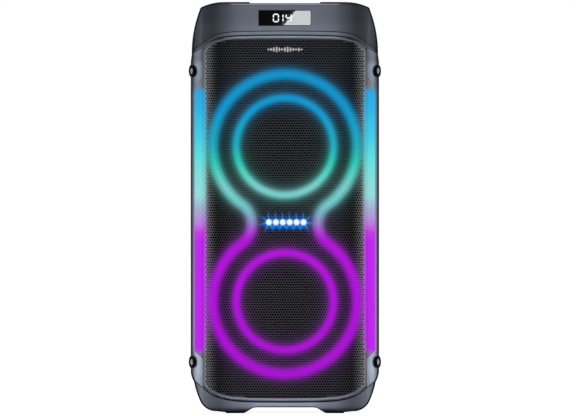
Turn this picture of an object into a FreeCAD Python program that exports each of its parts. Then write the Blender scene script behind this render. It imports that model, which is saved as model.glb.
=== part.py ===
"""Tall party speaker: two woofers, light rings, side light bars and a top control well.

Frame: x to the right, y to the back, z up, in millimetres. The origin is at the centre of
the footprint on the floor; the face with the grille looks towards -y.
"""
import FreeCAD
import Part
import Sketcher
import math
import os

from FreeCAD import Rotation, Vector

DIMENSIONS = [
    # name, value (mm or degrees)
    ("body_width", 312), ("body_height", 680), ("body_depth", 316),
    ("wall", 9), ("front_joint", 117.4), ("front_step", 2.5),
    ("flat_half", 75), ("wrap_radius", 110), ("wrap_angle", 33), ("corner_radius", 46),
    ("rear_half", 137), ("rear_radius", 28), ("edge_fillet", 5),
    ("skin", 3.7), ("frame_depth", 7.2), ("rib_recess", 1), ("grille_recess", 2.5),
    ("grille_half", 135.3), ("lens_half", 149), ("lens_recess", 0.4), ("light_gap", 4),
    ("baffle_back", 32), ("baffle_thick", 12), ("baffle_hole", 75),
    ("woofer_gap", 255.6), ("waist_height", 313.2),
    ("ring_radius", 80.2), ("ring_width", 10), ("board_thick", 1.2),
    ("lobe_radius", 119.3), ("waist_half", 54.7), ("tube_width", 9),
    ("flange_radius", 84), ("surround_middle", 66.5), ("roll_radius", 5), ("roll_inner", 4.2),
    ("cone_radius", 62), ("neck_radius", 15.8), ("cone_depth", 28), ("dust_radius", 23.6),
    ("coil_radius", 16.8), ("pole_radius", 14.6), ("magnet_radius", 50), ("basket_depth", 51),
    ("spider_radius", 50), ("tweeter_radius", 32), ("dome_radius", 12.5),
    ("tweeter_motor", 22), ("strobe_height", 316), ("strobe_pitch", 11.4), ("strobe_lens", 4.5),
    ("display_width", 87.5), ("display_tall", 26.2), ("display_height", 653),
    ("digit_tall", 14.2), ("digit_wide", 9), ("digit_pitch", 9.8), ("digit_stroke", 2.2),
    ("digit_start", -15.2),
    ("badge_height", 601), ("badge_bar", 2.6), ("badge_pitch", 4.6),
    ("channel_half", 58.5), ("channel_floor", 676.8), ("well_half", 52), ("well_length", 150),
    ("well_centre", -20), ("panel_thick", 4), ("knob_radius", 24), ("shaft_radius", 3),
    ("knob_centre", -42), ("button_row", 28), ("button_radius", 6), ("button_pitch", 21),
    ("rear_window_half", 90), ("rear_window_low", 70), ("rear_window_high", 290),
    ("rear_panel_thick", 3), ("rear_lip", 8), ("rear_knob_radius", 8), ("jack_bore", 3.3),
    ("control_row", 262), ("power_row", 92), ("socket_row", 226),
    ("port_radius", 27), ("port_height", 374), ("port_offset", 55), ("port_length", 100),
    ("handle_half", 65), ("handle_low", 550), ("handle_high", 620), ("handle_depth", 50),
    ("grip_radius", 11), ("battery_width", 150), ("battery_length", 80), ("battery_tall", 68),
    ("foot_long", 40), ("foot_wide", 30), ("foot_tall", 4), ("foot_offset", 83),
    ("boss_radius", 9.8), ("boss_top", 566), ("boss_low", 85), ("boss_proud", 3.5),
    ("boss_angle", 66), ("boss_ring", 3.4),
    ("screw_radius", 4),
]

doc = FreeCAD.newDocument("PartySpeaker")
sheet = doc.addObject("Spreadsheet::Sheet", "Dims")
for row, (name, value) in enumerate(DIMENSIONS, start=1):
    sheet.set("A%d" % row, name)
    sheet.set("B%d" % row, str(value))
    sheet.setAlias("B%d" % row, name)
doc.recompute()


class Size:
    """A length that keeps its number and the sheet expression that gives it."""

    def __init__(self, value, text):
        self.value = float(value)
        self.text = text

    def __add__(self, other):
        other = as_size(other)
        return Size(self.value + other.value, "(%s + %s)" % (self.text, other.text))

    def __sub__(self, other):
        other = as_size(other)
        return Size(self.value - other.value, "(%s - %s)" % (self.text, other.text))

    def __mul__(self, other):
        other = as_size(other)
        return Size(self.value * other.value, "(%s * %s)" % (self.text, other.text))

    def __truediv__(self, other):
        other = as_size(other)
        return Size(self.value / other.value, "(%s / %s)" % (self.text, other.text))

    def __rsub__(self, other):
        return as_size(other) - self

    def __neg__(self):
        return Size(0, "0") - self

    __radd__ = __add__
    __rmul__ = __mul__


def as_size(number):
    """Wrap a plain number so that it can be mixed with sheet sizes."""
    if isinstance(number, Size):
        return number
    return Size(number, repr(round(float(number), 6)))


class Sheet:
    """Sheet cells read as sizes, by their alias."""

    def __getattr__(self, name):
        return Size(sheet.get(name), "Dims." + name)


D = Sheet()
FRONT = -D.body_depth / 2
BACK = D.body_depth / 2
BAFFLE_FRONT = FRONT + D.baffle_back - D.baffle_thick
BAFFLE_REAR = FRONT + D.baffle_back
REAR_WALL = BACK - D.wall
UPPER_WOOFER = D.waist_height + D.woofer_gap / 2
LOWER_WOOFER = D.waist_height - D.woofer_gap / 2
OUTWARD = Rotation(Vector(1, 0, 0), 90)
BACKWARD = Rotation(Vector(1, 0, 0), -90)
FROM_BEHIND = Rotation(Vector(0, 1, 0), 180) * BACKWARD
UPRIGHT = Rotation()
nodes = []


# ---------------------------------------------------------------- parametric building blocks

def bind(obj, prop, size):
    """Tie a property to the sheet."""
    obj.setExpression(prop, as_size(size).text)


def place(obj, x=0, y=0, z=0, turn=UPRIGHT):
    """Turn an object and tie its position to the sheet."""
    obj.Placement = FreeCAD.Placement(Vector(0, 0, 0), turn)
    for axis, size in zip("xyz", (x, y, z)):
        bind(obj, "Placement.Base." + axis, size)
    return obj


def box(name, size, corner):
    """Block with its low corner at the given point."""
    obj = doc.addObject("Part::Box", name)
    for prop, length in zip(("Length", "Width", "Height"), size):
        bind(obj, prop, length)
    return place(obj, *corner)


def centred_box(name, size, centre):
    """Block around its centre point."""
    corner = [as_size(middle) - as_size(length) / 2 for middle, length in zip(centre, size)]
    return box(name, size, corner)


def rod(name, radius, length, start, turn=UPRIGHT):
    """Cylinder from its start point along +z, or along the turned axis."""
    obj = doc.addObject("Part::Cylinder", name)
    bind(obj, "Radius", radius)
    bind(obj, "Height", length)
    return place(obj, start[0], start[1], start[2], turn)


def joined(name, parts):
    """One object that holds several pieces."""
    obj = doc.addObject("Part::MultiFuse", name)
    obj.Shapes = parts
    return obj


def removed(name, base, tool):
    """The base with the tool cut away."""
    obj = doc.addObject("Part::Cut", name)
    obj.Base = base
    obj.Tool = tool
    return obj


def ready(obj, label):
    """List a finished object as a node of the assembly."""
    obj.Label = label
    nodes.append(obj)
    return obj


def fixed_shape(label, shape):
    """Node whose surface follows the curved cabinet, read from the sheet in code."""
    obj = doc.addObject("Part::Feature", label)
    obj.Shape = shape
    obj.Placement = FreeCAD.Placement()
    return ready(obj, label)


def sketch_on(body, role, name):
    """Sketch on one of the body's own origin planes."""
    plane = [item for item in body.Origin.OriginFeatures if item.Role == role][0]
    sketch = body.newObject("Sketcher::SketchObject", name)
    sketch.AttachmentSupport = [(plane, "")]
    sketch.MapMode = "FlatFace"
    return sketch


def pin_point(sketch, index, end, point):
    """Hold one sketch point at sheet-driven coordinates."""
    for kind, size, axis in (("DistanceX", point[0], -2), ("DistanceY", point[1], -1)):
        size = as_size(size)
        if abs(size.value) < 1e-9:
            sketch.addConstraint(Sketcher.Constraint("PointOnObject", index, end, axis))
            continue
        number = sketch.addConstraint(Sketcher.Constraint(kind, -1, 1, index, end, size.value))
        sketch.setExpression("Constraints[%d]" % number, size.text)


def dome_middle(start, stop):
    """Middle point of the arc between two points whose centre is on the axis of turning."""
    rise = start.y - stop.y
    centre = Vector(0, (start.x ** 2 - stop.x ** 2 + start.y ** 2 - stop.y ** 2) / (2 * rise), 0)
    middle = (start + stop) / 2 - centre
    return centre + middle.normalize() * (start - centre).Length


def draw_loop(sketch, points):
    """Closed outline of sheet-driven points.

    A third entry makes the line to that point an arc: either the arc's middle point, or the
    word dome for an arc around the axis of turning.
    """
    corners = [Vector(as_size(p[0]).value, as_size(p[1]).value, 0) for p in points]
    ends = []
    for number, point in enumerate(points):
        start, stop = corners[number - 1], corners[number]
        if len(point) == 2:
            index = sketch.addGeometry(Part.LineSegment(start, stop))
            ends.append((index, 1, 2))
            continue
        dome = point[2] == "dome"
        if dome:
            middle = dome_middle(start, stop)
        else:
            middle = Vector(as_size(point[2][0]).value, as_size(point[2][1]).value, 0)
        forward = (middle - start).cross(stop - middle).z > 0
        arc = Part.Arc(start, middle, stop) if forward else Part.Arc(stop, middle, start)
        index = sketch.addGeometry(arc)
        ends.append((index, 1, 2) if forward else (index, 2, 1))
        if dome:
            sketch.addConstraint(Sketcher.Constraint("PointOnObject", index, 3, -2))
        else:
            radius = sketch.Geometry[index].Radius
            sketch.addConstraint(Sketcher.Constraint("Radius", index, radius))
    for number, (index, first, last) in enumerate(ends):
        following = ends[(number + 1) % len(ends)]
        sketch.addConstraint(
            Sketcher.Constraint("Coincident", index, last, following[0], following[1]))
        pin_point(sketch, index, last, points[number])


def spun(name, points):
    """Body turned about its own z axis from a half profile of (radius, height) points."""
    body = doc.addObject("PartDesign::Body", name)
    sketch = sketch_on(body, "XZ_Plane", name + "_profile")
    draw_loop(sketch, points)
    turned = body.newObject("PartDesign::Revolution", name + "_turned")
    turned.Profile = sketch
    turned.ReferenceAxis = (sketch, ["V_Axis"])
    turned.Angle = 360
    sketch.Visibility = False
    return body


def rectangle(width, tall, across=0, up=0):
    """Corner points of a rectangle around a centre."""
    low = (as_size(across) - as_size(width) / 2, as_size(up) - as_size(tall) / 2)
    high = (as_size(across) + as_size(width) / 2, as_size(up) + as_size(tall) / 2)
    return [low, (high[0], low[1]), high, (low[0], high[1])]


def plate(name, width, tall, thick):
    """Flat plate body, centred on its own z axis, from z = 0 up."""
    body = doc.addObject("PartDesign::Body", name)
    sketch = sketch_on(body, "XY_Plane", name + "_outline")
    draw_loop(sketch, rectangle(width, tall))
    pad = body.newObject("PartDesign::Pad", name + "_pad")
    pad.Profile = sketch
    bind(pad, "Length", thick)
    sketch.Visibility = False
    return body


def pierce(body, name, rectangles, circles):
    """Cut rectangular and round openings downwards through a plate body."""
    top = sketch_on(body, "XY_Plane", name)
    for width, tall, across, up in rectangles:
        draw_loop(top, rectangle(width, tall, across, up))
    for radius, across, up in circles:
        centre = Vector(as_size(across).value, as_size(up).value, 0)
        index = top.addGeometry(Part.Circle(centre, Vector(0, 0, 1), as_size(radius).value))
        number = top.addConstraint(Sketcher.Constraint("Radius", index, as_size(radius).value))
        top.setExpression("Constraints[%d]" % number, as_size(radius).text)
        pin_point(top, index, 3, (across, up))
    pocket = body.newObject("PartDesign::Pocket", name + "_cut")
    pocket.Profile = top
    pocket.Type = "ThroughAll"
    pocket.Midplane = True
    top.Visibility = False


# ---------------------------------------------------------------- curved cabinet envelope

def around(centre, radius, degrees):
    """Point on a plan arc; 0 degrees faces the front and 90 the right side."""
    angle = math.radians(degrees)
    return centre + Vector(math.sin(angle), -math.cos(angle), 0) * radius


def mirrored_wire(edges):
    """Close a right-hand chain of edges with its mirror image in x."""
    other = [edge.mirror(Vector(0, 0, 0), Vector(1, 0, 0)) for edge in edges]
    return Part.Wire(Part.__sortEdges__(edges + other))


WRAP_CENTRE = Vector(D.flat_half.value, (FRONT + D.wrap_radius).value, 0)
CORNER_CENTRE = around(WRAP_CENTRE, (D.wrap_radius - D.corner_radius).value, D.wrap_angle.value)


def plan_wire():
    """Outline seen from above: flat front, wrapped corners, sides that taper to the rear."""
    wrap, corner = D.wrap_radius.value, D.corner_radius.value
    turn = D.wrap_angle.value
    side = around(CORNER_CENTRE, corner, 90)
    waist = Vector(side.x, 50, 0)
    rear = Vector(D.rear_half.value - D.rear_radius.value, BACK.value - D.rear_radius.value, 0)
    reach = rear - waist
    heading = math.atan2(reach.y, reach.x) - math.asin(D.rear_radius.value / reach.Length)
    run = math.sqrt(reach.Length ** 2 - D.rear_radius.value ** 2)
    tangent = waist + Vector(math.cos(heading), math.sin(heading), 0) * run
    start = math.degrees(heading)
    rear_arc = [rear + Vector(math.sin(math.radians(a)), -math.cos(math.radians(a)), 0)
                * D.rear_radius.value for a in ((start + 180) / 2, 180)]
    nose = Vector(D.flat_half.value, FRONT.value, 0)
    edges = [
        Part.makeLine(Vector(0, FRONT.value, 0), nose),
        Part.Arc(nose, around(WRAP_CENTRE, wrap, turn / 2),
                 around(WRAP_CENTRE, wrap, turn)).toShape(),
        Part.Arc(around(WRAP_CENTRE, wrap, turn), around(CORNER_CENTRE, corner, (turn + 90) / 2),
                 side).toShape(),
        Part.makeLine(side, waist),
        Part.makeLine(waist, tangent),
        Part.Arc(tangent, rear_arc[0], rear_arc[1]).toShape(),
        Part.makeLine(rear_arc[1], Vector(0, BACK.value, 0)),
    ]
    return mirrored_wire(edges)


# Right half of the front outline: (x, z) points; three points in a row make an arc.
OUTLINE_WIDE, OUTLINE_TALL = 312, 680
OUTLINE = [
    [(0, 9.6), (47, 9.6)],
    [(47, 9.6), (52, 8.8), (56.5, 6.6)],
    [(56.5, 6.6), (66.5, 0.6)],
    [(66.5, 0.6), (90, 1.2), (112, 3.4)],
    [(112, 3.4), (130.5, 8.6), (139.4, 18.6)],
    [(139.4, 18.6), (145.9, 35), (150.4, 52.6)],
    [(150.4, 52.6), (154.4, 61.5), (156, 74)],
    [(156, 74), (156, 576)],
    [(156, 576), (155.4, 584.5), (154.1, 592)],
    [(154.1, 592), (150.7, 632), (140.8, 667)],
    [(140.8, 667), (139.4, 670.3), (136.4, 672.3)],
    [(136.4, 672.3), (119, 678), (101, 680)],
    [(101, 680), (0, 680)],
]


def front_wire(shrink=0):
    """Outline seen from the front, drawn smaller by the same amount on every side."""
    wide = (D.body_width.value - 2 * shrink) / OUTLINE_WIDE
    tall = (D.body_height.value - 2 * shrink) / OUTLINE_TALL
    edges = []
    for points in OUTLINE:
        spots = [Vector(x * wide, 0, z * tall + shrink) for x, z in points]
        edges.append(Part.Arc(*spots).toShape() if len(spots) == 3 else Part.makeLine(*spots))
    return mirrored_wire(edges)


def prism(wire, direction, start):
    """Solid swept from a flat wire."""
    face = Part.Face(wire)
    face.translate(start)
    return face.extrude(direction)


def inset(wire, distance):
    """Parallel wire inside the given one."""
    return wire.makeOffset2D(-distance) if distance else wire


PLAN = plan_wire()


def side_wire():
    """Outline seen from the side: a rectangle with rounded corners."""
    high, radius, back = D.body_height.value, D.edge_fillet.value, BACK.value
    slant = radius * (1 - math.sqrt(0.5))
    corners = []
    for side, end, inward in ((-1, 0, 1), (1, 0, 1), (1, high, -1), (-1, high, -1)):
        level = Vector(0, side * (back - radius), end)
        middle = Vector(0, side * (back - slant), end + inward * slant)
        upright = Vector(0, side * back, end + inward * radius)
        corners.append((level, middle, upright) if side == inward else (upright, middle, level))
    arcs = [Part.Arc(*corner).toShape() for corner in corners]
    lines = [Part.makeLine(corners[n - 1][2], corners[n][0]) for n in range(4)]
    return Part.Wire(Part.__sortEdges__(arcs + lines))


def envelope(plan_inset, front_inset):
    """Whole cabinet volume, moved inwards."""
    column = prism(inset(PLAN, plan_inset), Vector(0, 0, 760), Vector(0, 0, -20))
    slab = prism(front_wire(front_inset), Vector(0, 400, 0), Vector(0, -200, 0))
    return column.common(slab)


def block(x0, x1, y0, y1, z0, z1):
    """Plain block between two corners."""
    return Part.makeBox(x1 - x0, y1 - y0, z1 - z0, Vector(x0, y0, z0))


AHEAD = block(-200, 200, -200, -D.front_joint.value, -20, 740)


def face_layer(outer, inner):
    """Layer of the front mouldings between two depths below their surface."""
    step = D.front_step.value
    solid = front_volume if outer == 0 else envelope(outer, step + outer).common(AHEAD)
    return solid.cut(envelope(inner, step + inner))


def rounded_front():
    """Front mouldings as one solid, softened at the top and bottom of the flat face."""
    profile = side_wire()
    step = D.front_step.value
    squeeze = FreeCAD.Matrix()
    squeeze.scale(1, 1, 1 - 2 * step / D.body_height.value)
    profile = profile.transformGeometry(squeeze)
    side = prism(profile, Vector(400, 0, 0), Vector(-200, 0, step))
    return envelope(0, step).common(AHEAD).common(side)


front_volume = rounded_front()

# Seams across the face as (x, z) points for the right half.
CAP_SEAM = [(0, 631.5), (45, 631.2), (85, 630), (104, 628), (120, 622.5), (134, 613), (144, 605.5),
            (158, 600)]
RIB_SEAM = [(0, 625.8), (45, 625.5), (80, 624.7), (98, 623), (114.5, 619), (127, 611.5),
            (139, 602.5), (158, 594)]
BASE_SEAM = [(0, 18.8), (54, 19.3), (87.6, 21.5), (104, 24.8), (121, 31.5), (136.6, 43.5),
             (158, 60)]


def above(seam, lift):
    """Everything higher than a seam that is moved up by the lift."""
    right = [Vector(x, -200, z + lift) for x, z in seam]
    left = [Vector(-p.x, p.y, p.z) for p in reversed(right[1:])]
    curve = Part.BSplineCurve()
    curve.interpolate(left + right)
    corners = [right[-1], Vector(right[-1].x, -200, 740), Vector(left[0].x, -200, 740), left[0]]
    sides = [Part.makeLine(corners[n], corners[n + 1]) for n in range(3)]
    return Part.Face(Part.Wire([curve.toShape()] + sides)).extrude(Vector(0, 100, 0))


def strip(x0, x1, ends, side=1):
    """Prism with slanted ends: (inner low, outer low, outer high, inner high) heights."""
    corners = [(x0, ends[0]), (x1, ends[1]), (x1, ends[2]), (x0, ends[3])]
    points = [Vector(side * x, -200, z) for x, z in corners]
    return Part.Face(Part.makePolygon(points + points[:1])).extrude(Vector(0, 100, 0))


LENS_ENDS = (89, 103.5, 542, 556)
SIDES = (("left", -1), ("right", 1))


def boss_axis(side):
    """Surface point (at z = 0) and outward direction of a corner boss."""
    point = around(CORNER_CENTRE, D.corner_radius.value, D.boss_angle.value)
    outward = point - CORNER_CENTRE
    outward.normalize()
    return Vector(side * point.x, point.y, 0), Vector(side * outward.x, outward.y, 0)


def boss_rods(radius, low, high):
    """One rod per corner boss, between two heights along its own axis."""
    rods = []
    for label, side in SIDES:
        point, outward = boss_axis(side)
        for height in (D.boss_top.value, D.boss_low.value):
            start = point + outward * low + Vector(0, 0, height)
            rods.append(Part.makeCylinder(radius, high - low, start, outward))
    return rods


def cut_all(solid, tools):
    """Solid with every tool removed."""
    for tool in tools:
        solid = solid.cut(tool)
    return solid


# ---------------------------------------------------------------- front mouldings

def build_front_mouldings():
    """Cap, rib, grille, base, pillars and lenses, which share one curved surface."""
    skin = D.skin.value
    shell = face_layer(0, skin)
    half_wide, half_tall = D.display_width.value / 2, D.display_tall.value / 2
    middle = D.display_height.value
    window = block(-half_wide, half_wide, -200, -100, middle - half_tall, middle + half_tall)
    fixed_shape("top_fascia", shell.common(above(CAP_SEAM, 0.6)).cut(window))
    rib = face_layer(D.rib_recess.value, skin)
    fixed_shape("top_trim", rib.common(above(RIB_SEAM, 0)).cut(above(CAP_SEAM, -0.6)))
    fixed_shape("base_fascia", shell.cut(above(BASE_SEAM, -0.75)))
    between = above(BASE_SEAM, 0.75).cut(above(RIB_SEAM, -0.4))
    grille_half = D.grille_half.value
    centre = block(-grille_half, grille_half, -200, -100, 0, 700)
    sheet_layer = face_layer(D.grille_recess.value, skin)
    fixed_shape("grille", sheet_layer.common(between).common(centre))
    gap = block(-grille_half - 0.3, grille_half + 0.3, -200, -100, 0, 700)
    sides = cut_all(shell.common(between), [gap] + boss_rods(D.boss_radius.value, -8, 8))
    lens_layer = face_layer(D.lens_recess.value, skin)
    lens_half = D.lens_half.value - 0.2
    for label, side in SIDES:
        reach = block(*sorted((0, 200 * side)), -200, -100, 0, 700)
        slot = strip(grille_half - 1, D.lens_half.value, LENS_ENDS, side)
        fixed_shape("side_pillar_" + label, sides.common(reach).cut(slot))
        low_inner, low_outer, high_outer, high_inner = LENS_ENDS
        ends = (low_inner + 0.3, low_outer + 0.3, high_outer - 0.3, high_inner - 0.3)
        lens = strip(grille_half - 1, D.lens_half.value, ends, side)
        lens = lens.common(block(-lens_half, lens_half, -200, -100, 0, 700)).cut(gap)
        fixed_shape("side_light_lens_" + label, lens_layer.common(lens))


def build_front_frame():
    """Dark frame behind the mouldings, open behind the grille, lenses and display."""
    frame = face_layer(D.skin.value, D.frame_depth.value)
    opening = above(BASE_SEAM, 5).cut(above(RIB_SEAM, -5))
    opening = opening.common(block(-131, 131, -200, -100, 0, 700))
    display = block(-42.5, 42.5, -200, -100, 641.5, 664.5)
    slots = [strip(137, 147, (93, 104.5, 539, 550), side) for label, side in SIDES]
    fixed_shape("front_frame", cut_all(frame, [opening, display] + slots))


def figure_eight(shift):
    """Wire around both woofers, moved outwards by the shift."""
    lobe, waist, half_gap = D.lobe_radius.value, D.waist_half.value, D.woofer_gap.value / 2
    bend = (waist ** 2 + half_gap ** 2 - lobe ** 2) / (2 * (lobe - waist))
    centre = D.waist_height.value
    upper, lower = Vector(0, 0, centre + half_gap), Vector(0, 0, centre - half_gap)
    arcs = []
    for hub, far in ((upper, 1), (lower, -1)):
        rim = []
        for side in (1, -1):
            pivot = Vector(side * (waist + bend), 0, centre)
            rim.append(hub + (pivot - hub).normalize() * (lobe + shift))
        top = hub + Vector(0, 0, far * (lobe + shift))
        arcs.append(Part.Arc(rim[0], top, rim[1]).toShape())
    for side in (1, -1):
        pivot = Vector(side * (waist + bend), 0, centre)
        joints = [pivot + (hub - pivot).normalize() * (bend - shift) for hub in (upper, lower)]
        inner = pivot - Vector(side * (bend - shift), 0, 0)
        arcs.append(Part.Arc(joints[0], inner, joints[1]).toShape())
    return Part.Wire(Part.__sortEdges__(arcs))


def front_tube(outer, inner, deep, proud):
    """Tube between two wires, from one y to another."""
    start, length = Vector(0, deep, 0), Vector(0, proud - deep, 0)
    return prism(outer, length, start).cut(prism(inner, length, start))


def circle_wire(radius, height):
    """Round wire facing the front."""
    circle = Part.Circle(Vector(0, 0, height), Vector(0, 1, 0), radius)
    return Part.Wire(circle.toShape())


def build_light_guides():
    """Glowing tubes between the baffle and the grille, and the boards that light them."""
    base = BAFFLE_FRONT.value
    seat = base - D.board_thick.value
    room = envelope(D.light_gap.value, D.front_step.value + D.light_gap.value)
    half = D.ring_width.value / 2
    rings, boards = [], []
    for height in (UPPER_WOOFER.value, LOWER_WOOFER.value):
        outer = circle_wire(D.ring_radius.value + half, height)
        inner = circle_wire(D.ring_radius.value - half, height)
        rings.append(front_tube(outer, inner, seat, -180).common(room))
        boards.append(front_tube(outer, inner, base, seat))
    half = D.tube_width.value / 2
    outer, inner = figure_eight(half), figure_eight(-half)
    fixed_shape("inner_ring_diffusers", Part.makeCompound(rings))
    fixed_shape("outer_light_diffuser", front_tube(outer, inner, seat, -180).common(room))
    boards.append(front_tube(outer, inner, base, seat))
    backing = face_layer(6, D.frame_depth.value)
    chips = face_layer(5, 6)
    for label, side in SIDES:
        boards.append(backing.common(strip(137.6, 146.4, (95, 104, 538, 548), side)))
        for number in range(24):
            low = 112 + 18 * number
            chip = strip(141, 144, (low, low, low + 3, low + 3), side)
            boards.append(chips.common(chip))
    fixed_shape("led_boards", Part.makeCompound(boards))


def build_corner_bosses():
    """Round strap bosses on the front corners, each with a domed pin in its cup."""
    radius, proud = D.boss_radius.value, D.boss_proud.value
    rings = boss_rods(radius, -D.skin.value, proud)
    bore = radius - D.boss_ring.value
    cups = boss_rods(bore, -1, proud + 1)
    rings = [ring.cut(cup) for ring, cup in zip(rings, cups)]
    pins = boss_rods(bore - 0.6, -1, proud - 0.8)
    pins = [pin.makeChamfer(1, [pin.Edges[0]]) for pin in pins]
    fixed_shape("corner_boss_rings", Part.makeCompound(rings))
    fixed_shape("corner_boss_pins", Part.makeCompound(pins))


# ---------------------------------------------------------------- cabinet

def build_cabinet():
    """Hollow cabinet and its rear wall, with their wells, windows, holes and boss seats."""
    joint = D.front_joint.value
    outer = envelope(0, 0).cut(AHEAD).common(prism(side_wire(), Vector(400, 0, 0),
                                                   Vector(-200, 0, 0)))
    wall = D.wall.value
    cavity = envelope(wall, wall).common(block(-200, 200, -joint - 1, REAR_WALL.value, 0, 700))
    channel = D.channel_half.value
    well, length, centre = D.well_half.value, D.well_length.value, D.well_centre.value
    window = D.rear_window_half.value
    grip = D.handle_half.value
    port, offset = D.port_radius.value, D.port_offset.value
    tools = [
        cavity,
        block(-channel, channel, -joint - 1, 200, D.channel_floor.value, 700),
        block(-well, well, centre - length / 2, centre + length / 2, 660, 700),
        block(-window, window, 140, 200, D.rear_window_low.value, D.rear_window_high.value),
        block(-grip, grip, 140, 200, D.handle_low.value, D.handle_high.value),
    ]
    for side in (-1, 1):
        hole = Vector(side * offset, 140, D.port_height.value)
        back = Vector(side * offset, BACK.value - 3, D.port_height.value)
        tools.append(Part.makeCylinder(port + 3, 30, hole, Vector(0, 1, 0)))
        tools.append(Part.makeCylinder(port + 11, 30, back, Vector(0, 1, 0)))
        for near in (-92, 92):
            wide, deep = D.foot_wide.value / 2, D.foot_long.value / 2
            middle = side * D.foot_offset.value
            tools.append(block(middle - wide, middle + wide, near - deep, near + deep, -1,
                               D.foot_tall.value))
    tools += boss_rods(D.boss_radius.value, -D.skin.value, 10)
    whole = cut_all(outer, tools)
    rear = block(-200, 200, REAR_WALL.value, 200, -20, 740)
    fixed_shape("cabinet_shell", whole.cut(rear))
    fixed_shape("cabinet_back", whole.common(rear))


def build_baffle():
    """Board that carries the drivers."""
    depth = D.frame_depth.value
    board = envelope(depth, D.front_step.value + depth)
    board = board.common(block(-200, 200, BAFFLE_FRONT.value, BAFFLE_REAR.value, 0, 700))
    tools = []
    for height in (UPPER_WOOFER.value, LOWER_WOOFER.value):
        tools.append(prism(circle_wire(D.baffle_hole.value, height), Vector(0, 60, 0),
                           Vector(0, -160, 0)))
    for side in (-1, 1):
        hole = Vector(side * tweeter_offset().value, -160, D.waist_height.value)
        tools.append(Part.makeCylinder(D.tweeter_motor.value + 0.5, 60, hole, Vector(0, 1, 0)))
    fixed_shape("front_baffle", cut_all(board, tools))


def tweeter_offset():
    """Centre of the waist bends, where the tweeters sit."""
    half_gap = D.woofer_gap / 2
    square = D.waist_half * D.waist_half + half_gap * half_gap - D.lobe_radius * D.lobe_radius
    return D.waist_half + square / ((D.lobe_radius - D.waist_half) * 2)


# ---------------------------------------------------------------- drivers

def build_woofer(position, height):
    """One woofer: basket, cone, dust cap, voice coil, surround and spider; gives its magnet."""
    name = "woofer_" + position
    depth = D.basket_depth
    basket = spun(name + "_basket", [
        (D.baffle_hole - 4, 0), (D.flange_radius, 0), (D.flange_radius, -3),
        (D.baffle_hole - 0.5, -3), (D.spider_radius, -(depth - 5)), (D.spider_radius, -depth),
        (20, -depth), (20, 2 - depth), (D.spider_radius - 3, 2 - depth),
        (D.spider_radius - 3, -(depth - 6)), (D.baffle_hole - 4, -2.5)])
    window = sketch_on(basket, "XY_Plane", name + "_window")
    draw_loop(window, rectangle(15, 27, 61.5, 0))
    pocket = basket.newObject("PartDesign::Pocket", name + "_window_cut")
    pocket.Profile = window
    pocket.Type = "ThroughAll"
    pocket.Midplane = True
    spokes = basket.newObject("PartDesign::PolarPattern", name + "_spokes")
    spokes.Originals = [pocket]
    spokes.Axis = (window, ["N_Axis"])
    spokes.Angle = 360
    spokes.Occurrences = 6
    basket.Tip = spokes
    window.Visibility = False
    magnet = spun(name + "_magnet", [
        (0, 1.5 - depth), (D.pole_radius, 1.5 - depth), (D.pole_radius, -(depth + 21)),
        (24, -(depth + 21)), (24, -(depth + 5)), (D.coil_radius + 0.6, -(depth + 5)),
        (D.coil_radius + 0.6, -(depth + 0.2)), (45, -(depth + 0.2)), (45, -(depth + 5)),
        (D.magnet_radius, -(depth + 5)), (D.magnet_radius, -(depth + 21)),
        (46, -(depth + 21)), (46, -(depth + 27)), (0, -(depth + 27))])
    cone = spun(name + "_cone", [
        (D.cone_radius, -0.1), (D.cone_radius, -1.1), (D.neck_radius + 0.1, -(D.cone_depth + 1)),
        (D.neck_radius + 0.1, -(D.cone_depth - 0.1))])
    rim, dome_base = D.dust_radius, -22
    cap = spun(name + "_dust_cap", [
        (0, -14.2), (rim, dome_base, "dome"), (rim - 0.7, dome_base - 0.4),
        (0, -15, "dome")])
    coil = spun(name + "_voice_coil", [
        (D.neck_radius - 0.6, -24), (D.neck_radius, -24), (D.neck_radius, -50),
        (D.coil_radius, -50), (D.coil_radius, -62), (D.neck_radius - 0.6, -62)])
    middle = D.surround_middle
    foot = 4.935
    surround = spun(name + "_surround", [
        (middle - D.roll_inner, 0),
        (middle + D.roll_inner, 0, (middle, D.roll_inner - 0.4)),
        (D.baffle_hole - 0.4, 0), (D.baffle_hole - 0.4, 0.8), (middle + foot, 0.8),
        (middle - foot, 0.8, (middle, D.roll_radius)),
        (middle - 7, 0.8), (middle - 7, 0)])
    spider = spun(name + "_spider", spider_profile())
    for part in (basket, cone, cap, coil, surround, spider):
        place(part, 0, BAFFLE_REAR, height, OUTWARD)
        ready(part, part.Name)
    return place(magnet, 0, BAFFLE_REAR, height, OUTWARD)


def spider_profile():
    """Corrugated disc as a closed zigzag ribbon."""
    radii = [D.neck_radius + 0.1 + (D.spider_radius - 4 - D.neck_radius) * (n / 8.0)
             for n in range(9)]
    heights = [-38.5 if n % 2 else -36 for n in range(9)]
    top = [(radius, height + 0.7) for radius, height in zip(radii, heights)]
    bottom = [(radius, height) for radius, height in zip(radii, heights)]
    return top + bottom[::-1]


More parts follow.
